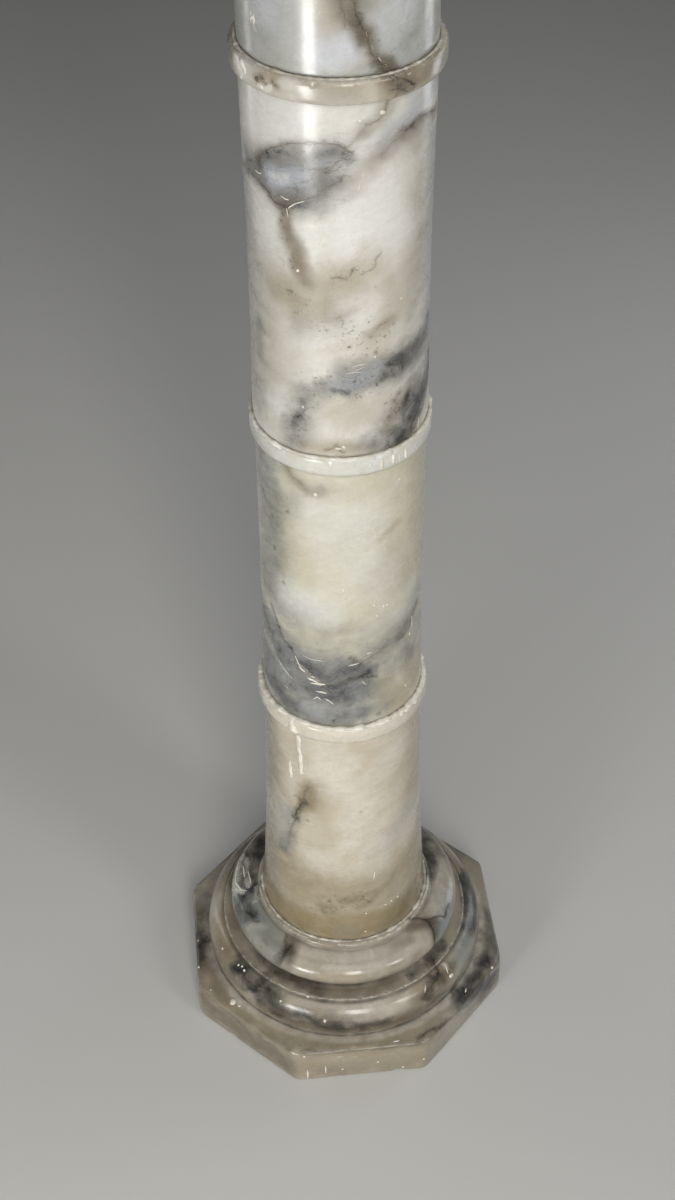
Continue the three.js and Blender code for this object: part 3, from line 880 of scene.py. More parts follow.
def lay_ground(tree, made, tones):
    """The stone's own two tones, in slow clouds."""
    share = add(tree, "MapRange", {"Value": made["cloud"], "From Min": 0.34, "From Max": 0.66},
                interpolation_type="SMOOTHSTEP")
    return add(tree, "Mix", {0: share, 6: colour(tones["ground"]), 7: colour(tones["deep"])}, 2,
               data_type="RGBA")


def lay_tones(tree, made, body, tones, broken):
    """Soft clouds of the tones laid by the marks, broken up at their edges."""
    ragged = add(tree, "MapRange", {"Value": made["wisp"], "From Min": 0.3, "From Max": 0.7,
                                    "To Min": -broken, "To Max": broken})
    for key, amount in (("streak", 0.6 * broken), ("blotch", 1.3 * broken)):
        centred = add(tree, "Math", {0: made[key], 1: 0.5}, operation="SUBTRACT")
        ragged = add(tree, "Math", {0: centred, 1: amount, 2: ragged}, operation="MULTIPLY_ADD")
    shares = {}
    for tone in TONES:
        weight = add(tree, "Attribute", {}, "Fac", attribute_name=tone)
        there = add(tree, "Math", {0: weight, 1: 4.0}, operation="MULTIPLY", use_clamp=True)
        there = add(tree, "Math", {0: there, 1: RAGGED[tone]}, operation="MULTIPLY")
        edge = add(tree, "Math", {0: ragged, 1: there, 2: weight}, operation="MULTIPLY_ADD")
        shares[tone] = add(tree, "MapRange", {"Value": edge, "From Min": 0.02, "From Max": 1.03,
                                              "To Max": 0.96})
        body = add(tree, "Mix", {0: shares[tone], 6: body, 7: colour(tones[tone])}, 2, data_type="RGBA")
    return body, shares


def lay_veins(tree, made, body, tones):
    """The marked veins: a smoky halo, and a dark core that swells, thins out and breaks off."""
    side, reach, half, strength = [add(tree, "Attribute", {}, "Fac", attribute_name=f"vein_{key}")
                                   for key in ("side", "reach", "half", "strength")]
    # It wanders a millimetre or so to either side, and swells and thins
    wander = add(tree, "Math", {0: made["wisp"], 1: 8.0, 2: side}, operation="MULTIPLY_ADD")
    wander = add(tree, "Math", {0: wander, 1: 4.0}, operation="SUBTRACT")
    near = add(tree, "Math", {0: wander}, operation="ABSOLUTE")
    near = add(tree, "Math", {0: near, 1: reach}, operation="MAXIMUM")
    near = add(tree, "Math", {0: made["blotch"], 1: 2.4, 2: near}, operation="MULTIPLY_ADD")
    near = add(tree, "Math", {0: near, 1: 1.2}, operation="SUBTRACT")
    ratio = add(tree, "Math", {0: near, 1: half}, operation="DIVIDE")
    smoke = add(tree, "MapRange", {"Value": ratio, "From Min": 3.2, "From Max": 0.2, "To Max": 0.55},
                interpolation_type="SMOOTHSTEP")
    smoke = add(tree, "Math", {0: smoke, 1: strength}, operation="MULTIPLY")
    body = add(tree, "Mix", {0: smoke, 6: body, 7: colour(tones["brown"])}, 2, data_type="RGBA")
    core = add(tree, "MapRange", {"Value": ratio, "From Min": 0.95, "From Max": 0.2},
               interpolation_type="SMOOTHSTEP")
    solid = add(tree, "MapRange", {"Value": made["blotch"], "From Min": 0.4, "From Max": 0.58,
                                   "To Min": 0.25, "To Max": 0.92})
    for factor in (strength, solid):
        core = add(tree, "Math", {0: core, 1: factor}, operation="MULTIPLY")
    body = add(tree, "Mix", {0: core, 6: body, 7: colour(tones["vein"])}, 2, data_type="RGBA")
    return body, smoke, core


def lay_cracks(tree, made, body, tones, busy, cells):
    """Where the stone is disturbed: cells of 24 mm with dark smoky borders, hair veins and specks."""
    rough = add(tree, "TexNoise", {"Vector": made["place"], "Scale": 1 / 0.019, "Detail": 4.0}, "Color")
    rough = add(tree, "VectorMath", {0: rough, "Scale": 0.04}, operation="SCALE")
    shift = add(tree, "VectorMath", {0: made["bent"], 1: rough}, operation="ADD")
    border = add(tree, "TexVoronoi", {"Vector": shift, "Scale": 1 / 0.024}, "Distance",
                 feature="DISTANCE_TO_EDGE")
    halo = add(tree, "MapRange", {"Value": border, "From Min": 0.24, "From Max": 0.0, "To Max": cells},
               interpolation_type="SMOOTHSTEP")
    halo = add(tree, "Math", {0: halo, 1: busy}, operation="MULTIPLY")
    body = add(tree, "Mix", {0: halo, 6: body, 7: colour(tones["dark"])}, 2, data_type="RGBA")
    # Hair veins where a slow noise passes its middle
    slow = add(tree, "TexNoise", {"Vector": made["bedded"], "Scale": 1 / 0.022, "Detail": 5.0,
                                  "Roughness": 0.55, "Distortion": 0.8})
    ridge = add(tree, "Math", {0: slow, 1: 0.5}, operation="SUBTRACT")
    ridge = add(tree, "Math", {0: ridge}, operation="ABSOLUTE")
    hair = add(tree, "MapRange", {"Value": ridge, "From Min": 0.014, "From Max": 0.001, "To Max": 0.75})
    hair = add(tree, "Math", {0: hair, 1: busy}, operation="MULTIPLY")
    # Specks of 3 mm, there and wherever the marks ask for pepper
    pepper = add(tree, "Attribute", {}, "Fac", attribute_name="pepper")
    speck = add(tree, "TexNoise", {"Vector": made["bent"], "Scale": 1 / 0.0028, "Detail": 3.0,
                                   "Roughness": 0.6})
    speck = add(tree, "Math", {0: pepper, 1: 0.045, 2: speck}, operation="MULTIPLY_ADD")
    speck = add(tree, "MapRange", {"Value": speck, "From Min": 0.62, "From Max": 0.71, "To Max": 0.8})
    there = add(tree, "Math", {0: busy, 1: pepper}, operation="MAXIMUM")
    speck = add(tree, "Math", {0: speck, 1: there}, operation="MULTIPLY")
    # Cracks along the cells' borders, only where it is most disturbed, and broken off here and there
    crack = add(tree, "MapRange", {"Value": border, "From Min": 0.035, "From Max": 0.006})
    whole = add(tree, "MapRange", {"Value": made["wisp"], "From Min": 0.45, "From Max": 0.6})
    worst = add(tree, "MapRange", {"Value": busy, "From Min": 0.3, "From Max": 0.9})
    for factor in (whole, worst):
        crack = add(tree, "Math", {0: crack, 1: factor}, operation="MULTIPLY")
    dark = hair
    for other in (speck, crack):
        dark = add(tree, "Math", {0: dark, 1: other}, operation="MAXIMUM")
    return add(tree, "Mix", {0: dark, 6: body, 7: colour(tones["vein"])}, 2, data_type="RGBA")


def lay_grain(tree, made, body, streaks):
    """Sugary grain, mottling and faint streaks: a few per cent lighter and darker."""
    for key, darkest, lightest in (("grain", 0.975, 1.02), ("blotch", 0.965, 1.025),
                                   ("streak", 1 - 1.4 * streaks, 1 + streaks)):
        shade = add(tree, "MapRange", {"Value": made[key], "From Min": 0.3, "From Max": 0.7,
                                       "To Min": darkest, "To Max": lightest})
        body = add(tree, "VectorMath", {0: body, "Scale": shade}, operation="SCALE")
    return body


def lay_dirt_and_shade(tree, made, body, tones):
    """Dirt and old wax in the grooves, in patches, with the painted contact shadow in the base's plinth
    groove.
    """
    dirt_and_shade = add(tree, "Attribute", {}, "Fac", attribute_name="grime_and_shade")
    patches = add(tree, "MapRange", {"Value": made["wisp"], "From Min": 0.3, "From Max": 0.6,
                                     "To Min": 0.5, "To Max": 1.0})
    share = add(tree, "Math", {0: dirt_and_shade, 1: patches}, operation="MULTIPLY")
    body = add(tree, "Mix", {0: share, 6: body, 7: colour(tones["grime_and_shade"])}, 2, data_type="RGBA")
    return body, dirt_and_shade


def lay_dust_and_sheen(tree, made, body):
    """Smeared cement and plaster dust, thin and scratchy, and the pale lines along the base's arrises that
    are painted highlights.
    """
    chalk_and_sheen = add(tree, "Attribute", {}, "Fac", attribute_name="chalk_and_sheen")
    scratchy = chalk_and_sheen
    for key in ("blotch", "grain"):
        scratchy = add(tree, "Math", {0: made[key], 1: 0.9, 2: scratchy}, operation="MULTIPLY_ADD")
    dust_and_sheen = add(tree, "MapRange", {"Value": scratchy, "From Min": 1.1, "From Max": 1.8, "To Max": 0.9})
    there = add(tree, "Math", {0: chalk_and_sheen, 1: 5.0}, operation="MULTIPLY", use_clamp=True)
    dust_and_sheen = add(tree, "Math", {0: dust_and_sheen, 1: there}, operation="MULTIPLY")
    body = add(tree, "Mix", {0: dust_and_sheen, 6: body, 7: colour("#dedbd2")}, 2, data_type="RGBA")
    return body, dust_and_sheen


def waxed(tree, made, polish, duller):
    """The polish, unevenly worn, and duller where the things given lie on the stone."""
    rough = add(tree, "MapRange", {"Value": made["wisp"], "From Min": 0.3, "From Max": 0.7,
                                   "To Min": polish - 0.06, "To Max": polish + 0.1})
    for share, amount in duller:
        rough = add(tree, "Math", {0: share, 1: amount, 2: rough}, operation="MULTIPLY_ADD")
    return rough


def relief(tree, made, core, dust_and_sheen):
    """Turning marks 0.8 mm high and 60 mm long round the column, mottling, and pits at the veins."""
    flat = add(tree, "Mapping", {"Vector": made["place"], "Scale": (16, 16, 1250)})
    turning = add(tree, "TexNoise", {"Vector": flat, "Scale": 1.0, "Detail": 2.0})
    height = add(tree, "Math", {0: turning, 1: 0.15}, operation="MULTIPLY")
    for share, amount in ((made["blotch"], 0.5), (core, -0.6), (dust_and_sheen, 0.6)):
        height = add(tree, "Math", {0: share, 1: amount, 2: height}, operation="MULTIPLY_ADD")
    return add(tree, "Bump", {"Height": height, "Strength": 0.17, "Distance": 0.0002})


def marble(name, tones, polish=0.24, veining=0.1, cells=0.35, broken=0.2, streaks=0.02):
    """What the marbles share. Onyx marble, turned or carved, rubbed smooth and waxed: clouded, sugary
    and slightly translucent, with smoky veins and a soft gloss that grime and cement have dulled."""
    material, tree, shader = new_material(name)
    made = patterns(tree)
    body = lay_ground(tree, made, tones)
    body, shares = lay_tones(tree, made, body, tones, broken)
    body, smoke, core = lay_veins(tree, made, body, tones)
    busy = smoke
    for tone, amount in (("grey", 0.35), ("dark", 0.8)):
        busy = add(tree, "Math", {0: shares[tone], 1: amount, 2: busy}, operation="MULTIPLY_ADD")
    busy = add(tree, "Math", {0: busy, 1: veining}, operation="ADD", use_clamp=True)
    body = lay_cracks(tree, made, body, tones, busy, cells)
    body = lay_grain(tree, made, body, streaks)
    body, dirt_and_shade = lay_dirt_and_shade(tree, made, body, tones)
    body, dust_and_sheen = lay_dust_and_sheen(tree, made, body)
    rough = waxed(tree, made, polish, ((dirt_and_shade, 0.35), (core, 0.08), (shares["dark"], 0.14), (dust_and_sheen, 0.45)))
    tree.links.new(body, shader.inputs["Base Color"])
    tree.links.new(rough, shader.inputs["Roughness"])
    tree.links.new(relief(tree, made, core, dust_and_sheen), shader.inputs["Normal"])

    # Calcite: light goes a few millimetres in; a thin coat of wax lies on top
    shader.inputs["IOR"].default_value = 1.5
    shader.inputs["Subsurface Weight"].default_value = 0.22
    shader.inputs["Subsurface Radius"].default_value = (1.0, 0.85, 0.65)
    shader.inputs["Subsurface Scale"].default_value = 0.007
    shader.inputs["Coat Weight"].default_value = 0.3
    shader.inputs["Coat Roughness"].default_value = 0.16
    shader.inputs["Coat IOR"].default_value = 1.45
    return material


def eye_marble():
    """White and beige onyx marble with a blue-grey eye, turned and waxed, for the third drum."""
    return marble("white onyx marble, turned and waxed", {
        "ground": "#e1dfd8", "deep": "#d4d0c5", "tan": "#aa9f89", "grey": "#787773",
        "blue": "#b6bac1", "white": "#e9e8e4", "brown": "#8a7f6e", "dark": "#26272a",
        "vein": "#2a2722", "grime_and_shade": "#6b6455"}, cells=0.08, broken=0.21)


def white_marble():
    """Cool grey-white onyx marble with a brown vein, turned and waxed, for the fourth drum."""
    return marble("grey-white onyx marble, turned and waxed", {
        "ground": "#c7c8c3", "deep": "#b4b4ae", "tan": "#b9af9b", "grey": "#939494",
        "blue": "#d2d4d9", "white": "#e2e2df", "brown": "#7a705f", "dark": "#4a453b",
        "vein": "#342e26", "grime_and_shade": "#6b6455"})


def grey_marble():
    """Cream marble with a blue-grey cracked band, turned and waxed, for the second drum."""
    return marble("cream and blue-grey marble, turned and waxed", {
        "ground": "#d9d6c6", "deep": "#cfcab4", "tan": "#a69b82", "grey": "#76787b",
        "blue": "#a9acac", "white": "#dfdfdb", "brown": "#7a7466", "dark": "#3c3d3c",
        "vein": "#2c2c2b", "grime_and_shade": "#6b6455"}, cells=0.3, broken=0.18)


def cream_marble():
    """Warm cream marble, honey coloured towards the foot, turned and waxed, for the lowest drum."""
    return marble("cream marble, turned and waxed", {
        "ground": "#d6cfbe", "deep": "#c9bfaa", "tan": "#918262", "grey": "#86857b",
        "blue": "#b0b0a9", "white": "#e6e2d7", "brown": "#85795f", "dark": "#4c4638",
        "vein": "#231f1a", "grime_and_shade": "#6e634e"}, streaks=0.04)


def base_marble():
    """Grey and honey marble with dark clouds, carved, waxed and dirtier from handling, for the base; its
    tones are set a little darker as painted shade, for the dimmer light near the floor.
    """
    return marble("grey and honey marble, carved and waxed", {
        # The tones are set darker than the drums' as painted shade, for the dimmer light near the floor
        "ground": "#aba394", "deep": "#958c7c", "tan": "#a99d84", "grey": "#6e6e6b",
        "blue": "#8b9290", "white": "#cac4b7", "brown": "#5f5546", "dark": "#2b2a28",
        "vein": "#211f1b", "grime_and_shade": "#3a3428"}, polish=0.2, veining=0.07, cells=0.6, broken=0.3)


def capital_marble():
    """Plain pale marble, carved and waxed, for the capital."""
    return marble("pale marble, carved and waxed", {
        "ground": "#d2cdbf", "deep": "#c4bca9", "tan": "#b3a68b", "grey": "#989a97",
        "blue": "#b5b8b6", "white": "#e3e0d8", "brown": "#857c6b", "dark": "#6a665d",
        "vein": "#5a5449", "grime_and_shade": "#6b6455"})


def white_cement():
    """White cement, trowelled and wiped by hand: matt and chalky, with grit of 0.8 mm."""
    material, tree, shader = new_material("white cement, hand-wiped")
    place = add(tree, "TexCoord", {}, "Object")
    patch = add(tree, "TexNoise", {"Vector": place, "Scale": 1 / 0.008, "Detail": 5.0})
    grit = add(tree, "TexNoise", {"Vector": place, "Scale": 1 / 0.0008, "Detail": 2.0})
    share = add(tree, "MapRange", {"Value": patch, "From Min": 0.35, "From Max": 0.68})
    body = add(tree, "Mix", {0: share, 6: colour("#f6f3e9"), 7: colour("#ddd7c7")}, 2, data_type="RGBA")
    dirt_and_shade = add(tree, "Attribute", {}, "Fac", attribute_name="grime_and_shade")
    patches = add(tree, "MapRange", {"Value": patch, "From Min": 0.35, "From Max": 0.6,
                                     "To Min": 0.6, "To Max": 1.4})
    share = add(tree, "Math", {0: dirt_and_shade, 1: patches}, operation="MULTIPLY")
    body = add(tree, "Mix", {0: share, 6: body, 7: colour("#8a8270")}, 2, data_type="RGBA")
    rough = add(tree, "MapRange", {"Value": grit, "To Min": 0.62, "To Max": 0.85})
    bump = add(tree, "Bump", {"Height": grit, "Strength": 0.6, "Distance": 0.0003})
    tree.links.new(body, shader.inputs["Base Color"])
    tree.links.new(rough, shader.inputs["Roughness"])
    tree.links.new(bump, shader.inputs["Normal"])
    return material


def floor_paint():
    """Matt floor paint, rolled on: pale and faintly uneven, in patches of two thirds of a metre."""
    material, tree, shader = new_material("pale matt floor paint")
    place = add(tree, "TexCoord", {}, "Object")
    patch = add(tree, "TexNoise", {"Vector": place, "Scale": 1.5, "Detail": 3.0})
    body = add(tree, "Mix", {0: patch, 6: colour("#d3d2cf"), 7: colour("#cccbc8")}, 2, data_type="RGBA")
    tree.links.new(body, shader.inputs["Base Color"])
    shader.inputs["Roughness"].default_value = 0.75
    return material


# Chips in the base and the capital: (turn, distance from the axis, height, reach, depth)
BASE_CORNER = BASE_ACROSS / 2 / math.cos(math.pi / 8)
BASE_CHIPS = [
    (-67.5, 145.5, 39, 17, 3.0), (-22.5, 145.5, 39, 9, 1.4), (-88, 135, 38, 6, 0.8),
    (-40, 136, 38, 7, 0.9), (-3, 135, 38, 5, 0.7), (14, 137, 1, 7, 1.2), (35, 137, 38, 6, 0.8),
    (-52, 137, 1, 6, 1.0),
    *[(turn, BASE_CORNER, PLINTH_TOP, 7, 1.1) for turn in (-157.5, -112.5, 22.5, 67.5, 157.5)],
]
SLAB_CORNER = SLAB_ACROSS / 2 / math.cos(math.pi / 8)
SLAB_CHIPS = [
    *[(turn, SLAB_CORNER, COLUMN_TOP, 6, 0.9) for turn in (-67.5, 22.5, 112.5)],
    (157.5, SLAB_CORNER, COLUMN_TOP - SLAB_THICK, 6, 0.9),
]

# Dirt in the grooves: (radius, height, reach, amount). The base's first line, in the groove round the
# plinth's top, is a painted contact shadow.
BASE_GRIME_AND_SHADOW = [(118.9, 38, 3, 1.0), (121, 42, 8, 0.4), (107.6, 69.4, 3.2, 0.9), (94, 75, 5.5, 0.8),
              (76, 100, 4, 0.6)]
PLINTH_ARRIS_GRIME = (BASE_ACROSS / 2 - 0.6, PLINTH_TOP - 0.6, 3.5, 0.45)
CAPITAL_GRIME = [(64, CAPITAL_FOOT + 7, 4, 0.6), (90, 1183, 5, 0.7), (92, 1203, 5, 0.7)]

# Dust, worn stone and painted highlights right round the base: (tone, radius, height, reach, amount); the two
# chalk lines, along the step's arris and the collar's, are painted highlights
BASE_ROUNDS = [("chalk_and_sheen", 107, 71.3, 1.7, 0.4), ("chalk_and_sheen", 74.6, 105.2, 1.7, 0.4), ("white", 122.5, 38, 8, 0.9)]


# Pieces

def finish_piece(piece, material, node=None):
    """Gives a piece its material, hangs it on the root body and hides the frame's part that it stands for."""
    piece.data.materials.append(material)
    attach(piece, "root")
    if node:
        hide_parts(node)


def make_base():
    """The base, carved from one block: octagonal plinth, two toruses and a collar."""
    piece = turned("base_block", even_steps(base_outline(), MESH_STEP), BASE_FACETS)
    squared(piece, GROOVE_RADIUS + 0.8, BASE_ACROSS / 2 - 3.2, -1, PLINTH_TOP + 0.01)
    wear(piece, BASE_WAVER, [(107, 71.4), (75.8, 105)], 21)
    chip(piece, BASE_CHIPS)
    lay_marks(piece, in_space(BASE_MARKS + BASE_FAR_SIDE), 40, rounds=BASE_ROUNDS)
    lay_grime_and_shade(piece, BASE_GRIME_AND_SHADOW, 60, edges=[PLINTH_ARRIS_GRIME])
    finish_piece(piece, base_marble(), "base")


def make_drum(number, marks, ring_tone, dust_and_sheen, foot_grime, material, facets=DRUM_FACETS):
    """A drum with its ring: (tone, amount) of the ring, and how dusty with cement its joints are."""
    shape = DRUMS[number - 1]
    foot, head = DRUM_FEET[number - 1], DRUM_HEADS[number - 1]
    ring_bottom = head - RING_HEIGHT
    piece = turned(f"drum_{number}_block", even_steps(drum_outline(number), MESH_STEP), facets)
    arrises = [(shape["ring"], head - 1.5), (shape["ring"] - 0.8, ring_bottom + 0.8)]
    wear(piece, DRUM_WAVER, arrises, number * 3)
    rounds = [("chalk_and_sheen", shape["ring"] - 1, head - 0.5, 1.7, dust_and_sheen),
              ("chalk_and_sheen", shape["ring"] - 2.5, head, 1.7, dust_and_sheen), ("chalk_and_sheen", shape["foot"], foot, 1.7, 0.5)]
    unseen = far_side(number, foot + 15, head - 20)
    lay_marks(piece, on_drum(number, marks + unseen), number * 7, [(*ring_tone, ring_bottom, head)], rounds)
    lay_grime_and_shade(piece, [(shape["head"], ring_bottom - 0.5, 3.5, 0.55), *foot_grime], number)
    finish_piece(piece, material, f"shaft_drum_{number}")


def make_drum_1():
    """The lowest drum, cream, and honey coloured at its dirty foot."""
    foot_grime = [(71, 108, 14, 0.4), (71, 107, 5, 0.5)]
    make_drum(1, DRUM_1_MARKS, ("white", 0.55), 0.65, foot_grime, cream_marble())


def make_drum_2():
    """The second drum, cream with a blue-grey band."""
    make_drum(2, DRUM_2_MARKS, ("white", 0.75), 0.6, [(62, 362, 3, 0.4)], grey_marble())


def make_drum_3():
    """The third drum, white and beige with the grey eye, and a beige ring."""
    make_drum(3, DRUM_3_MARKS, ("tan", 1.0), 0.3, [(61, 620, 3, 0.4)], eye_marble())


def make_drum_4():
    """The fourth drum, grey-white; most of it is above the photograph, so it is turned a little coarser."""
    foot_grime = [(60.4, 889, 3, 0.4)]
    make_drum(4, DRUM_4_MARKS, ("tan", 0.4), 0.3, foot_grime, white_marble(),
              facets=TOP_DRUM_FACETS)


def make_capital():
    """The capital, carved from one block: neck, bell, echinus and octagonal slab."""
    piece = turned("capital_block", even_steps(capital_outline(), CAPITAL_STEP), CAPITAL_FACETS)
    squared(piece, 91, SLAB_ACROSS / 2 - 2.4, COLUMN_TOP - SLAB_THICK - 0.05, COLUMN_TOP + 1)
    wear(piece, DRUM_WAVER, [(65.2, CAPITAL_FOOT + 5.5)], 33)
    chip(piece, SLAB_CHIPS)
    lay_marks(piece, in_space(CAPITAL_MARKS), 80)
    lay_grime_and_shade(piece, CAPITAL_GRIME, 90)
    finish_piece(piece, capital_marble(), "capital")


# Cement: the beads at the joints, and what ran or was smeared on the stone

def joint_bead(name, height, radius, width, rise, seed):
    """A bead of cement round a joint: a closed loop spun round the column, then made uneven."""
    loop = [math.tau * k / BEAD_SIDES for k in range(BEAD_SIDES + 1)]
    outline = [(radius + width / 2 * math.cos(a), height + rise * math.sin(a)) for a in loop]
    bead = turned(name, outline, BEAD_FACETS)
    places = places_of(bead)
    angles = np.arctan2(places[:, 1], places[:, 0])
    level = np.full(len(places), float(height))
    middle = np.stack([np.cos(angles) * radius, np.sin(angles) * radius, level], axis=1)
    # The lumps are read a quarter turn on, so that they differ from the stone's own
    quarter_on = np.stack([-middle[:, 1], middle[:, 0], level], axis=1)
    fat = 0.95 + 0.6 * ripple(quarter_on, 9, seed) + 0.7 * ripple(quarter_on, 3, seed + 1)
    move_to(bead, middle + (places - middle) * np.clip(fat, 0.15, 2)[:, None])
    return bead


def laid_on(tree, place):
    """The nearest place on the stone, and the way it faces."""
    where, facing, _, _ = tree.find_nearest(Vector(place) * MM)
    return np.array(where) / MM, np.array(facing)


def pressed(bead, tree, keep):
    """Presses a bead or dab down onto the stone, so that only a thin skin stands proud."""
    places = places_of(bead)
    for index, place in enumerate(places):
        where, facing = laid_on(tree, place)
        proud = float((place - where) @ facing)
        skin = CEMENT_SKIN if proud > -0.2 else 0
        places[index] = where + facing * (proud * keep + skin)
    move_to(bead, places)


def dab(tree, place, radius, seed):
    """One fleck of cement, of no regular shape."""
    where, _ = laid_on(tree, place)
    bpy.ops.object.select_all(action="DESELECT")
    bpy.ops.mesh.primitive_ico_sphere_add(subdivisions=2, radius=radius * MM, location=where * MM)
    fleck = bpy.context.object
    bpy.ops.object.transform_apply(location=True, rotation=True, scale=True)
    places = places_of(fleck)
    lumps = 1 + 0.8 * ripple(places, radius * 1.3, seed)
    move_to(fleck, where + (places - where) * lumps[:, None])
    pressed(fleck, tree, keep=0.2)
    return fleck


def run(tree, path, width, seed):
    """A drip or a smear along a path: a round run of cement, thin at its ends, pressed on the stone."""
    chance = random.Random(seed)
    points = [path[0]]
    for start, end in zip(path, path[1:]):
        count = max(1, round(np.linalg.norm(end - start) / RUN_STEP))
        points += [start + (end - start) * k / count for k in range(1, count + 1)]
    for number, point in enumerate(points):
        jitter = [chance.uniform(-RUN_JITTER, RUN_JITTER) * width for _ in range(3)]
        points[number] = laid_on(tree, point)[0] + jitter
    drawn_line(points)
    bpy.ops.object.mode_set(mode="OBJECT")
    bpy.ops.object.convert(target="CURVE")
    smear = bpy.context.object
    smear.data.bevel_depth = width / 2 * MM
    smear.data.bevel_resolution = 1
    smear.data.use_fill_caps = True
    spline = smear.data.splines[0]
    last = len(spline.points) - 1
    for number, point in enumerate(spline.points):
        end = min(number, last - number) / max(last, 1)
        point.radius = min(1, 0.35 + 2.2 * end) * chance.uniform(0.75, 1.15)
    bpy.ops.object.convert(target="MESH")
    smear = bpy.context.object
    pressed(smear, tree, keep=0.3)
    return smear


def splashes(name, stone, place_of, runs, dabs, seed):
    """All the cement that ran or fell on one piece, as one object."""
    tree = BVHTree.FromObject(stone, bpy.context.evaluated_depsgraph_get())
    made = [run(tree, [place_of(*spot) for spot in path], width, seed + number)
            for number, (width, path) in enumerate(runs)]
    made += [dab(tree, place_of(*spot), radius, seed + number)
             for number, (radius, spot) in enumerate(dabs)]
    bpy.ops.object.select_all(action="DESELECT")
    for one in made:
        one.select_set(True)
    bpy.context.view_layer.objects.active = made[0]
    bpy.ops.object.join()
    joined = bpy.context.object
    joined.name = joined.data.name = name
    closed_and_smooth(0.001)
    return joined


def near_drum(turn, height):
    """A place near a drum's surface; the cement is then laid on the surface itself."""
    return on_round(turn, NEAR_DRUM, height)


# Cement: a run is (width, path), a dab is (radius, place)
DRUM_4_RUNS = [
    (1.4, [(-58, 917), (-58, 909)]), (1.0, [(-61, 914), (-61, 910)]), (0.5, [(9, 915), (10, 912)]),
    (0.6, [(12, 907), (13, 904)]), (0.6, [(16, 899), (18, 896)]), (0.5, [(20, 894), (22, 892)]),
]
DRUM_4_DABS = [
    (1.2, (-59, 914)), (0.8, (40, 930)), (0.9, (-20, 1010)),
]
DRUM_3_RUNS = [
    (4.5, [(-67, 887), (-63, 885), (-60, 881)]), (0.9, [(-64, 816), (-60, 816), (-57, 817)]),
    (0.9, [(-42, 808), (-39, 807), (-36, 807)]), (1.0, [(-37, 801), (-33, 805), (-26, 809)]),
    (0.6, [(-54, 847), (-51, 843)]), (0.6, [(1, 691), (6, 692), (11, 692)]), (0.5, [(3, 688), (9, 690)]),
    (0.6, [(-3, 686), (3, 687), (8, 686)]), (0.9, [(54, 630), (53, 620)]), (1.6, [(-10, 627), (-5, 626.5)]),
    (0.6, [(8, 829), (7, 824)]), (0.6, [(6, 822), (5, 816)]), (0.6, [(-38, 801), (-37, 795)]),
]
DRUM_3_DABS = [
    (1.5, (19, 865)), (0.9, (6, 862)), (1.2, (-65, 877)), (1.1, (-48, 878)), (1.1, (-32, 759)),
    (1.0, (16, 696)), (0.9, (-30, 657)), (1.2, (-4, 628)), (0.8, (35, 733)), (0.7, (-15, 780)),
]
DRUM_2_RUNS = [
    (4.0, [(-58, 621), (-52, 619), (-46, 618)]), (2.6, [(8, 609), (8, 606.5)]),
    (2.2, [(12, 614), (12, 609)]), (3.0, [(20, 615), (20, 606)]), (3.0, [(28, 616), (28, 607)]),
    (2.6, [(38, 615), (38, 606)]), (1.6, [(33, 612), (33, 606)]),
    (1.0, [(-41, 426), (-38, 419), (-36, 415)]), (1.5, [(-38.5, 416), (-33, 413)]),
    (1.9, [(-31.5, 408), (-27, 407), (-23.5, 405.5)]), (2.1, [(-29, 403.5), (-23, 404.5), (-18, 405)]),
    (1.6, [(-25, 396), (-21, 396.5), (-17, 396)]), (1.1, [(-27, 387), (-24, 390.5), (-21, 388)]),
    (1.0, [(-18.5, 390.5), (-15, 388), (-12, 385)]), (0.8, [(-29, 411), (-25, 410)]),
    (0.9, [(-2, 425), (6, 427)]), (0.9, [(11, 435), (16, 435)]), (0.8, [(8, 408), (11, 403)]),
    (1.0, [(53, 448), (53, 436)]), (0.7, [(-48, 386), (-50, 389)]), (0.6, [(-46, 367), (-44, 368)]),
    (0.7, [(-60, 412), (-52, 405), (-44, 400)]), (0.6, [(-36, 430), (-28, 428), (-18, 429)]),
]
DRUM_2_DABS = [
    (1.4, (-23, 585)), (1.0, (36, 588)), (0.8, (7, 553)), (0.8, (18, 546)), (1.0, (17, 481)),
    (0.9, (24, 477)), (0.8, (27, 477)), (1.0, (19, 470)), (1.0, (50, 432)), (0.9, (45, 382)),
    (1.0, (-5, 500)),
]
DRUM_1_RUNS = [
    (8.0, [(-43, 359), (-41, 352), (-40, 343)]), (5.6, [(-40, 350), (-39, 336), (-38.5, 320)]),
    (4.8, [(-38.5, 328), (-38, 313), (-38, 299)]), (3.8, [(-48, 307), (-47.5, 298), (-47, 290)]),
    (1.0, [(17, 186), (16.5, 180), (16, 175)]), (1.4, [(-44, 358), (-47, 352), (-48, 346)]),
    (0.8, [(60, 330), (60, 318)]),
]
DRUM_1_DABS = [
    (2.0, (-38, 300)), (1.5, (-47, 290)), (1.0, (36, 140)), (1.0, (30, 140)), (0.9, (25, 139)),
    (0.9, (10, 137)), (0.8, (9, 114)), (2.4, (38, 360)), (3.2, (43, 360)), (3.4, (48, 360)),
    (2.6, (53, 359)), (0.8, (-5, 215)),
]
BASE_RUNS = [
    (2.2, [(-112, 97, 94), (-104, 97, 95), (-97, 96, 95), (-90, 91, 98), (-89, 86, 98)]),
    (1.4, [(-108, 92, 98), (-99, 88, 99)]), (1.2, [(-104, 86, 99), (-94, 82, 99)]),
    (1.0, [(46, 109, 68), (45, 114, 67), (44, 118, 64)]),
    (1.6, [(-19, 143, 15), (-19, 143, 8), (-19, 143, 2)]), (1.5, [(-13, 138, 18), (-13, 138, 7)]),
    (1.3, [(12, 133.5, 38), (14.5, 134, 38)]), (1.6, [(50, 129, 38), (48, 131, 38)]),
    (0.8, [(30, 118, 64), (32, 113, 68)]),
]
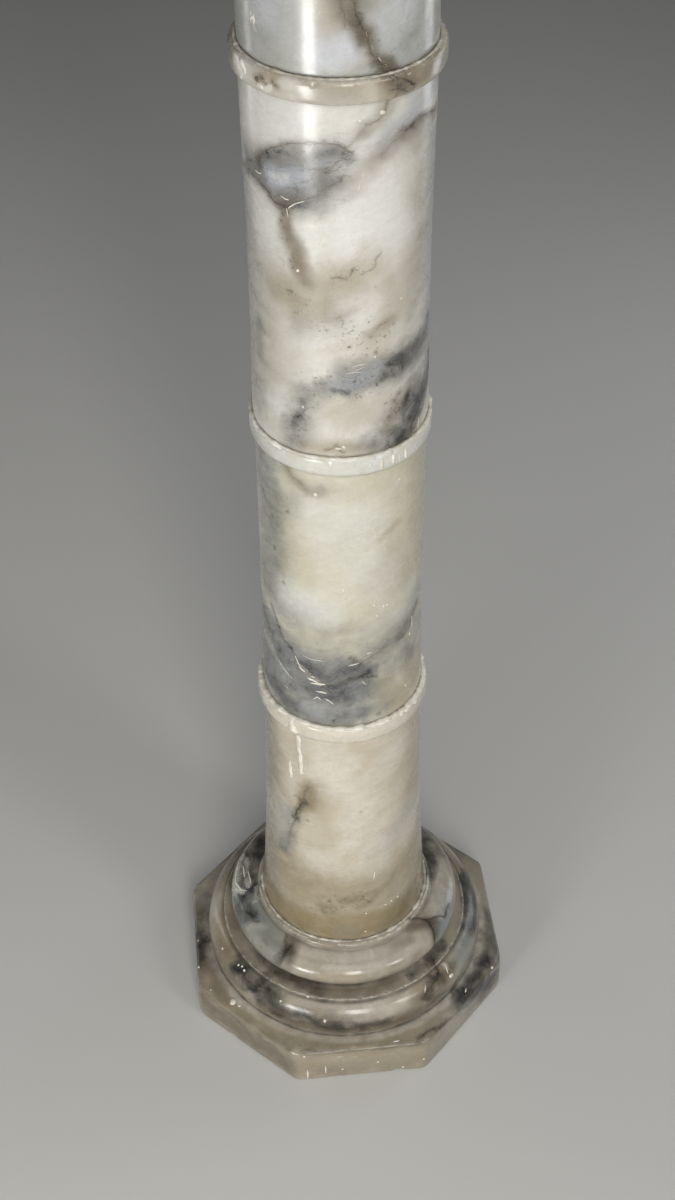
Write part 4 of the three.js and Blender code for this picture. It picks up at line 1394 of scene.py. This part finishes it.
BASE_DABS = [
    (1.2, (-72, 118, 65)), (1.0, (-58, 112, 67)), (0.9, (-60, 114, 67)), (1.1, (-56, 113, 67)),
    (1.0, (-34, 117, 65)), (1.0, (-23, 107, 70)), (1.3, (-14, 122, 59)), (2.6, (-55, 129, 38)),
    (1.4, (-52, 128, 38)), (1.0, (-65, 138, 38)), (1.2, (-76, 139, 38)), (0.9, (-20, 144, 35)),
    (1.0, (-7, 136, 11)), (1.1, (6, 136, 17)), (1.1, (15, 140, 5)), (2.3, (45, 121, 61)),
    (0.9, (22, 146, 14)), (1.2, (63, 141, 38)), (0.8, (-88, 133, 38)),
]
JOINTS = [
    # height, radius, width, rise, dirt
    (BASE_TOP + 0.1, 71.4, 2.6, 0.9, 0.6),
    (DRUM_HEADS[0] + 0.1, 63.4, 4.2, 1.1, 0.05),
    (DRUM_HEADS[1] + 0.1, 61.8, 2.6, 0.9, 0.15),
    (DRUM_HEADS[2] + 0.1, 61.2, 2.0, 0.7, 0.45),
    (DRUM_HEADS[3] + 0.1, 62.6, 2.2, 0.6, 0.3),
]
SPLASHED = [
    ("base", on_round, BASE_RUNS, BASE_DABS), ("drum_1", near_drum, DRUM_1_RUNS, DRUM_1_DABS),
    ("drum_2", near_drum, DRUM_2_RUNS, DRUM_2_DABS), ("drum_3", near_drum, DRUM_3_RUNS, DRUM_3_DABS),
    ("drum_4", near_drum, DRUM_4_RUNS, DRUM_4_DABS),
]


def make_cement():
    """The beads at the five joints and the splashes on the base and the drums."""
    cement = white_cement()
    for number, (height, radius, width, rise, dirt_and_shade) in enumerate(JOINTS, start=1):
        bead = joint_bead(f"joint_cement_{number}", height, radius, width, rise, 100 + number)
        write_attribute(bead, "grime_and_shade", np.full(len(bead.data.vertices), dirt_and_shade))
        finish_piece(bead, cement)
    for number, (name, place_of, runs, dabs) in enumerate(SPLASHED):
        stone = bpy.data.objects[f"{name}_block"]
        spots = splashes(f"cement_splashes_{name}", stone, place_of, runs, dabs, 200 + 40 * number)
        finish_piece(spots, cement)


# Studio

FLOOR_SIZE = 12000
AIR_TINT = "#e9ecef"
AIR_STRENGTH = 0.09
SOFTBOXES = [
    # name, turn, distance, height, width, length, watts, tint, height aimed at
    ("front left strip", -38, 1300, 370, 300, 440, 6.8, "#fffefb", 550),
    ("front window", 3, 2300, 1750, 600, 1300, 26.5, "#fffdf9", 300),
    ("right window", 42, 2300, 1750, 420, 900, 10.5, "#fffdf9", 300),
    ("left rim", -125, 1500, 700, 200, 1300, 1.8, "#ffffff", 550),
    ("right rim", 115, 1500, 700, 450, 1300, 4.2, "#f6f9ff", 550),
    ("overhead", 0, 700, 2700, 1600, 1600, 10.6, "#ffffff", 550),
]


def make_floor():
    """A plain floor under the column."""
    bpy.ops.object.select_all(action="DESELECT")
    bpy.ops.mesh.primitive_plane_add(size=FLOOR_SIZE * MM, location=(0, 0, 0))
    floor = bpy.context.object
    floor.name = "studio_floor"
    bpy.ops.object.mode_set(mode="EDIT")
    bpy.ops.mesh.subdivide(number_cuts=3)
    bpy.ops.object.mode_set(mode="OBJECT")
    floor.data.materials.append(floor_paint())


def make_lights():
    """Softboxes round the column, and a little light from all sides."""
    for name, turn, distance, height, width, length, watts, tint, aim in SOFTBOXES:
        place = Vector(on_round(turn, distance, height)) * MM
        bpy.ops.object.light_add(type="AREA", location=place)
        lamp = bpy.context.object
        lamp.name = name
        lamp.data.shape = "RECTANGLE"
        lamp.data.size = width * MM
        lamp.data.size_y = length * MM
        lamp.data.energy = watts
        lamp.data.color = colour(tint)[:3]
        towards = Vector((0, 0, aim * MM)) - place
        lamp.rotation_euler = towards.to_track_quat("-Z", "Y").to_euler()
        lamp.visible_camera = False
    world = bpy.data.worlds.new("studio air")
    bpy.context.scene.world = world
    world.use_nodes = True
    air = world.node_tree.nodes["Background"]
    air.inputs["Color"].default_value = colour(AIR_TINT)
    air.inputs["Strength"].default_value = AIR_STRENGTH
    bpy.context.scene.view_settings.view_transform = "Standard"


def make_camera():
    """The photograph's camera: its place, its way of looking and its lens."""
    turn = Matrix.Rotation(math.radians(-CAMERA_YAW), 4, "Z")
    tip = Matrix.Rotation(math.radians(90 - CAMERA_PITCH), 4, "X")
    lean = Matrix.Rotation(math.radians(CAMERA_ROLL), 4, "Z")
    bpy.ops.object.camera_add(location=Vector(CAMERA_PLACE) * MM, rotation=(turn @ tip @ lean).to_euler())
    camera = bpy.context.object
    camera.data.lens = CAMERA_LENS
    camera.data.sensor_width = CAMERA_SENSOR
    camera.data.clip_start = CAMERA_NEAR * MM
    bpy.context.scene.camera = camera


make_camera()
make_floor()
make_lights()
make_base()
make_drum_1()
make_drum_2()
make_drum_3()
make_drum_4()
make_capital()
make_cement()
